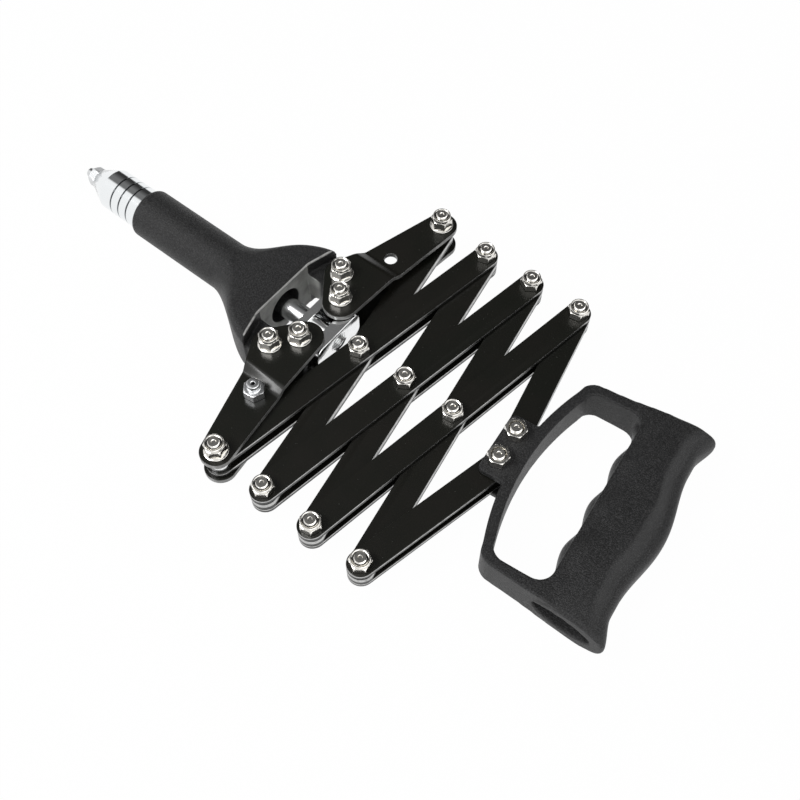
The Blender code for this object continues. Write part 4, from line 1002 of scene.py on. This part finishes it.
def arm_blade(side, sign, tip_side):
    """One arm plate, cranked between its blade's level and its heel's."""
    tip = Vector((0.0, tip_side))
    facing = math.degrees(math.atan2(TOE.y - PIVOT.y, TOE.x - PIVOT.x)) + 270.0
    outline = arc(PIVOT, ARM_HEEL_R, 150, facing, 20) + arc(TOE, ARM_TOE_R, facing, 355, 36)
    outline += [WAIST_RIGHT] + arc(tip, ARM_TIP_R, 0, 170, 36) + [UPPER_WAIST if sign > 0 else LOWER_WAIST]
    loops = [circle(PIVOT, HOLE_R), circle(PIN, HOLE_R), circle(tip, HOLE_R)]
    if sign > 0:
        loops.append(circle(STORE, STORE_R))
    solid = unmeshed(edged(plate(outline, loops, -PLATE_THICK / 2, PLATE_THICK / 2), EDGE_ROUND))
    cuts = 20
    for i in range(cuts + 1):
        y = RISE_START - BEND_ROUND + (RISE_RUN + 2 * BEND_ROUND) * i / cuts
        geom = solid.verts[:] + solid.edges[:] + solid.faces[:]
        bmesh.ops.bisect_plane(solid, geom=geom, plane_co=(0, y, 0), plane_no=(0, 1, 0), dist=0.001 * MM)
    for v in solid.verts:
        z = v.co.z + ARM_HEEL_LEVEL + (ARM_TIP_LEVEL - ARM_HEEL_LEVEL) * crank(v.co.y)
        v.co = Vector((v.co.x, side * v.co.y, sign * z)) + TOOL
    return crisp(mesh_of(solid), 22.0)


arm_enamel = enamel("arm_enamel")
for arm, side in (("right_arm", 1), ("left_arm", -1)):
    for level, sign in (("top", 1), ("bottom", -1)):
        node = "%s_%s_plate" % (arm, level)
        blade = arm_blade(side, sign, joints["inner_link_1_swing"].y)
        show("%s_%s_blade" % (arm, level), blade, arm_enamel, arm, [node])

# Bolts and nuts
# M6 button-head bolts from below with nickelled nuts on top: flanged lock nuts on the arms,
# lock nuts on the links and plain nuts on the handle. A lock nut's collar holds nylon.
BOLT_R = 3.0 * MM
FLANGE_R = 6.2 * MM
FLANGE_HIGH = 0.95 * MM
COLLAR_R = 4.85 * MM
COLLAR_HIGH = 1.7 * MM
BOLT_HEAD_R = 5.25 * MM
BOLT_HEAD_HIGH = 3.3 * MM
BOLT_PROUD = 0.9 * MM
SOCKET_FLATS = 4.0 * MM
NICKEL = colour(0.83, 0.81, 0.765)
NYLON = colour(0.014, 0.015, 0.017)
nickel = plain_metal("nickel_plate", NICKEL, 0.07, 0.08, 0.10 * MM, 300.0)
nylon = new_material("nylon")
grime_and_groove_shade = nylon.noise(nylon.place(), 900.0)
nylon.principled(Base_Color=NYLON, Roughness=0.35 + grime_and_groove_shade * 0.3)


def skirt_ring(z, reach):
    """A level ring of a flange's cone where it meets the hexagon above it."""
    corner = NUT_FLATS / math.sqrt(3)
    ring = []
    for p, q in zip(upright_ring(z, corner, NUT_FLATS), upright_ring(z, reach)):
        ring.append(p if p.length > q.length else q)
    return ring


def fastener(grip_half, nut_high, collared, flanged):
    """A bolt and its nut about the bolt's middle."""
    seat = grip_half + SEAT_GAP
    top = seat + nut_high
    low = -seat - BOLT_HEAD_HIGH
    socket = SOCKET_FLATS / math.sqrt(3)
    rings = [upright_ring(low + 1.9 * MM, socket, SOCKET_FLATS), upright_ring(low, socket, SOCKET_FLATS)]
    for share in (0.56, 0.7, 0.82, 0.91, 0.97, 1.0):
        drop = math.sqrt(1 - ((share - 0.5) / 0.52) ** 2)
        rings.append(upright_ring(-seat - 0.5 * MM - (BOLT_HEAD_HIGH - 0.5 * MM) * drop, BOLT_HEAD_R * share))
    rings += [upright_ring(-seat - 0.1 * MM, BOLT_HEAD_R), upright_ring(-seat, BOLT_HEAD_R - 0.1 * MM)]
    rings += [upright_ring(-seat, BOLT_R), upright_ring(seat, BOLT_R)]
    hex_top = top - COLLAR_HIGH if collared else top
    if flanged:
        rings += [upright_ring(seat, FLANGE_R - 0.1 * MM), upright_ring(seat + 0.1 * MM, FLANGE_R)]
        rings.append(upright_ring(seat + 0.25 * MM, FLANGE_R))
        for i in range(13):
            rise = i / 12
            reach = FLANGE_R - 0.1 * MM - (FLANGE_R - NUT_FLATS / 2) * rise ** 0.8
            level = seat + 0.35 * MM + (FLANGE_HIGH - 0.35 * MM) * rise
            rings.append([Vector((p.x, p.y, level)) for p in skirt_ring(seat, reach)])
        rings += chamfered_hex(seat + FLANGE_HIGH + 0.1 * MM, hex_top, NUT_FLATS, 0.85, 0.0)
    else:
        rings += chamfered_hex(seat, hex_top, NUT_FLATS, 0.85, 0.4)
    rim = 3.5 * MM
    if collared:
        rings += [upright_ring(hex_top + 0.05 * MM, COLLAR_R + 0.05 * MM), upright_ring(hex_top + 0.3 * MM, COLLAR_R)]
        for a in (0, 30, 60, 90):
            turn = math.radians(a)
            out = COLLAR_R - 0.4 * MM + 0.4 * MM * math.cos(turn)
            rings.append(upright_ring(top - 0.4 * MM + 0.4 * MM * math.sin(turn), out))
        rings += [upright_ring(top, COLLAR_R - 0.65 * MM), upright_ring(top - 0.2 * MM, COLLAR_R - 0.95 * MM)]
        rings += [upright_ring(top - 0.3 * MM, COLLAR_R - 1.2 * MM)]
        rim = COLLAR_R - 1.25 * MM
    else:
        rings.append(upright_ring(top, 3.9 * MM))
    rings += [upright_ring(top - 0.9 * MM, rim - 0.1 * MM), upright_ring(top - 1.1 * MM, BOLT_R - 0.3 * MM)]
    end = top + BOLT_PROUD
    rings += thread(top - 1.1 * MM, end - 0.4 * MM, BOLT_R)
    rings += [upright_ring(end - 0.4 * MM, BOLT_R - 0.02 * MM), upright_ring(end, BOLT_R - 0.35 * MM)]
    rings += [upright_ring(end, 1.2 * MM), upright_ring(end - 0.4 * MM, 0.9 * MM)]
    return crisp(mesh_of(loft(rings)), 27.0)


def nylon_ring(grip_half, nut_high):
    """The insert, seen between a lock nut's collar and the bolt."""
    top = grip_half + SEAT_GAP + nut_high - 0.3 * MM
    rings = [upright_ring(top - 0.5 * MM, 3.02 * MM), upright_ring(top - 0.2 * MM, 3.05 * MM)]
    for a in (150, 120, 90, 60, 30):
        turn = math.radians(a)
        rings.append(upright_ring(top - 0.3 * MM + 0.3 * MM * math.sin(turn), 3.3 * MM + 0.27 * MM * math.cos(turn)))
    rings.append(upright_ring(top - 0.5 * MM, 3.57 * MM))
    return crisp(mesh_of(loft(rings, closed=True)))


FLANGE_NUT = 8.0 * MM
LOCK_NUT = 6.0 * MM
PLAIN_NUT = 5.0 * MM
kinds = {
    "flanged": (FLANGE_NUT, True, True),
    "lock": (LOCK_NUT, True, False),
    "plain": (PLAIN_NUT, False, False),
}
bolt_sets = (
    ("right_arm", "flanged", ["right_arm_tip_bolt"], 24),
    ("right_arm", "flanged", ["right_arm_pivot_bolt", "right_arm_pin_bolt"], 8),
    ("left_arm", "flanged", ["left_arm_tip_bolt"], 40),
    ("left_arm", "flanged", ["left_arm_pivot_bolt", "left_arm_pin_bolt"], 18),
    ("outer_link_1", "lock", ["outer_link_1_middle_bolt", "outer_link_1_right_bolt"], 20),
    ("outer_link_2", "lock", ["outer_link_2_%s_bolt" % s for s in ("left", "middle", "right")], 34),
    ("outer_link_3", "lock", ["outer_link_3_%s_bolt" % s for s in ("left", "middle", "right")], 12),
    ("outer_half_link", "lock", ["outer_half_link_left_bolt"], 35),
    ("handle", "plain", ["handle_right_bolt", "handle_left_bolt"], 22),
)
for body, kind, replaced, turn in bolt_sets:
    nut_high, collared, flanged = kinds[kind]
    low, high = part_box(replaced[0])
    grip_half = (high.z - low.z - nut_high - BOLT_HEAD_HIGH - BOLT_PROUD) / 2 - SEAT_GAP
    places = [(middle_of(n).x, middle_of(n).y, TOOL.z) for n in replaced]
    unit = fastener(grip_half, nut_high, collared, flanged)
    name = replaced[0] + "s"
    show(name, copies(unit, places, math.radians(turn), nickel), nickel, body, replaced)
    if collared:
        inserts = copies(nylon_ring(grip_half, nut_high), places, 0.0, nylon.owner)
        show(name + "_inserts", inserts, nylon.owner, body, [])

# Cross-head, rod and rollers
# The cross-head is a bright zinc-plated casting: two slabs joined by a neck, with the arms'
# rollers between them and a threaded hole behind. The pull rod is polished steel.
FLANGE_SIDE = 16.5 * MM
FLANGE_HALF_HIGH = 8.3 * MM
FLANGE_CORNER_R = 5.0 * MM
SLOT_FRONT = -15.55 * MM
SLOT_REAR = -5.65 * MM
FRONT_THICK = 4.8 * MM
REAR_THICK = 7.2 * MM
NECK_R = 6.0 * MM
ROD_R = 6.0 * MM
ROD_BORE_R = 2.5 * MM
ROD_SEAT = 3.4 * MM
EJECT_R = 5.6 * MM
EJECT_DEEP = 5.0 * MM
ROLLER_R = 4.3 * MM
WASHER_R = 5.6 * MM
ZINC = colour(0.90, 0.91, 0.91)
zinc = plain_metal("zinc_plate", ZINC, 0.10, 0.10, 0.05 * MM, 240.0, 0.9)


def slab(front, rear):
    """A rounded slab across the axis, with softened edges."""
    outline = []
    for quarter, (a, b) in enumerate(((1, 1), (-1, 1), (-1, -1), (1, -1))):
        centre = (a * (FLANGE_SIDE - FLANGE_CORNER_R), b * (FLANGE_HALF_HIGH - FLANGE_CORNER_R))
        outline += arc(centre, FLANGE_CORNER_R, 90 * quarter, 90 * quarter + 90, 14)
    solid = unmeshed(edged(plate(outline, [], front, rear), 0.5 * MM, 3))
    for v in solid.verts:
        v.co = Vector((v.co.z, v.co.x, v.co.y))
    return solid


def axial(profile, steps=64):
    """A plain solid turned about the X axis, to join or cut with."""
    return loft([[Vector((x, p.x, p.y)) for p in circle((0, 0), r, steps)] for x, r in profile])


rear = SLOT_REAR + REAR_THICK
front = SLOT_FRONT - FRONT_THICK
casting = combine(slab(front, SLOT_FRONT), slab(SLOT_REAR, rear), "UNION")
casting = combine(casting, axial([(SLOT_FRONT - 1 * MM, NECK_R), (SLOT_REAR + 1 * MM, NECK_R)]), "UNION")
hole = [(front - 1 * MM, ROD_R + SEAT_GAP), (front + ROD_SEAT, ROD_R + SEAT_GAP), (front + ROD_SEAT, ROD_BORE_R)]
hole += [(rear - EJECT_DEEP, ROD_BORE_R), (rear - EJECT_DEEP, EJECT_R - 0.5 * MM)]
turns = 4
for i in range(turns):
    at = rear - EJECT_DEEP + (EJECT_DEEP - 0.7 * MM) * i / turns
    hole += [(at + 0.2 * MM, EJECT_R - 0.5 * MM), (at + 0.55 * MM, EJECT_R), (at + 0.65 * MM, EJECT_R)]
hole += [(rear - 0.6 * MM, EJECT_R - 0.3 * MM), (rear, EJECT_R + 0.3 * MM), (rear + 1 * MM, EJECT_R + 0.3 * MM)]
casting = combine(casting, axial(hole), "DIFFERENCE")
crosshead = moved(crisp(mesh_of(casting), 25.0), Matrix.Translation(TOOL))
show("plated_crosshead", crosshead, zinc, "crosshead", ["crosshead"])

polished = turned_metal("polished_rod", colour(0.88, 0.89, 0.90), 0.14, 0.7 * MM, 0.002 * MM)
rod_low, rod_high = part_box("pull_rod")
rod_front, rod_rear = rod_low.x - TOOL.x, rod_high.x - TOOL.x
rod = [(rod_front, ROD_BORE_R), (rod_front, ROD_R - 0.4 * MM), (rod_front + 0.4 * MM, ROD_R)]
rod += [(rod_rear - 0.4 * MM, ROD_R), (rod_rear, ROD_R - 0.4 * MM), (rod_rear, ROD_BORE_R)]
show("polished_pull_rod", crisp(lathe(rod)), polished, "crosshead", ["pull_rod"])


def sleeve_of(node, radius, bore):
    """A fine ring or roller in a node's place, with softened edges."""
    low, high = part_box(node)
    soft = 0.3 * MM
    rings = [upright_ring(low.z, bore), upright_ring(low.z, radius - soft), upright_ring(low.z + soft, radius)]
    rings += [upright_ring(high.z - soft, radius), upright_ring(high.z, radius - soft), upright_ring(high.z, bore)]
    centre = (low + high) / 2
    centre.z = 0.0
    return moved(crisp(mesh_of(loft(rings, closed=True))), Matrix.Translation(centre))


owners = {n: b for b in ("right_arm", "left_arm", "handle") for n in nodes if n.startswith(b)}
for node, body in owners.items():
    if node.endswith("_roller"):
        show(node + "_ground", sleeve_of(node, ROLLER_R, HOLE_R), polished, body, [node])
    elif node.endswith("_spacer"):
        show(node + "_plated", sleeve_of(node, WASHER_R, HOLE_R), zinc, body, [node])

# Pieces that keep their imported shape
# The jaw case, jaws, pusher, spring and lock nut are inside the head, out of sight.
hidden = {
    "rod_lock_nut": nickel,
    "jaw_case": machined,
    "jaw_1": machined,
    "jaw_2": machined,
    "jaw_3": machined,
    "jaw_pusher": machined,
    "jaw_spring": machined,
}
for name, finish in hidden.items():
    for slot in nodes[name].material_slots:
        slot.material = finish

low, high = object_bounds()
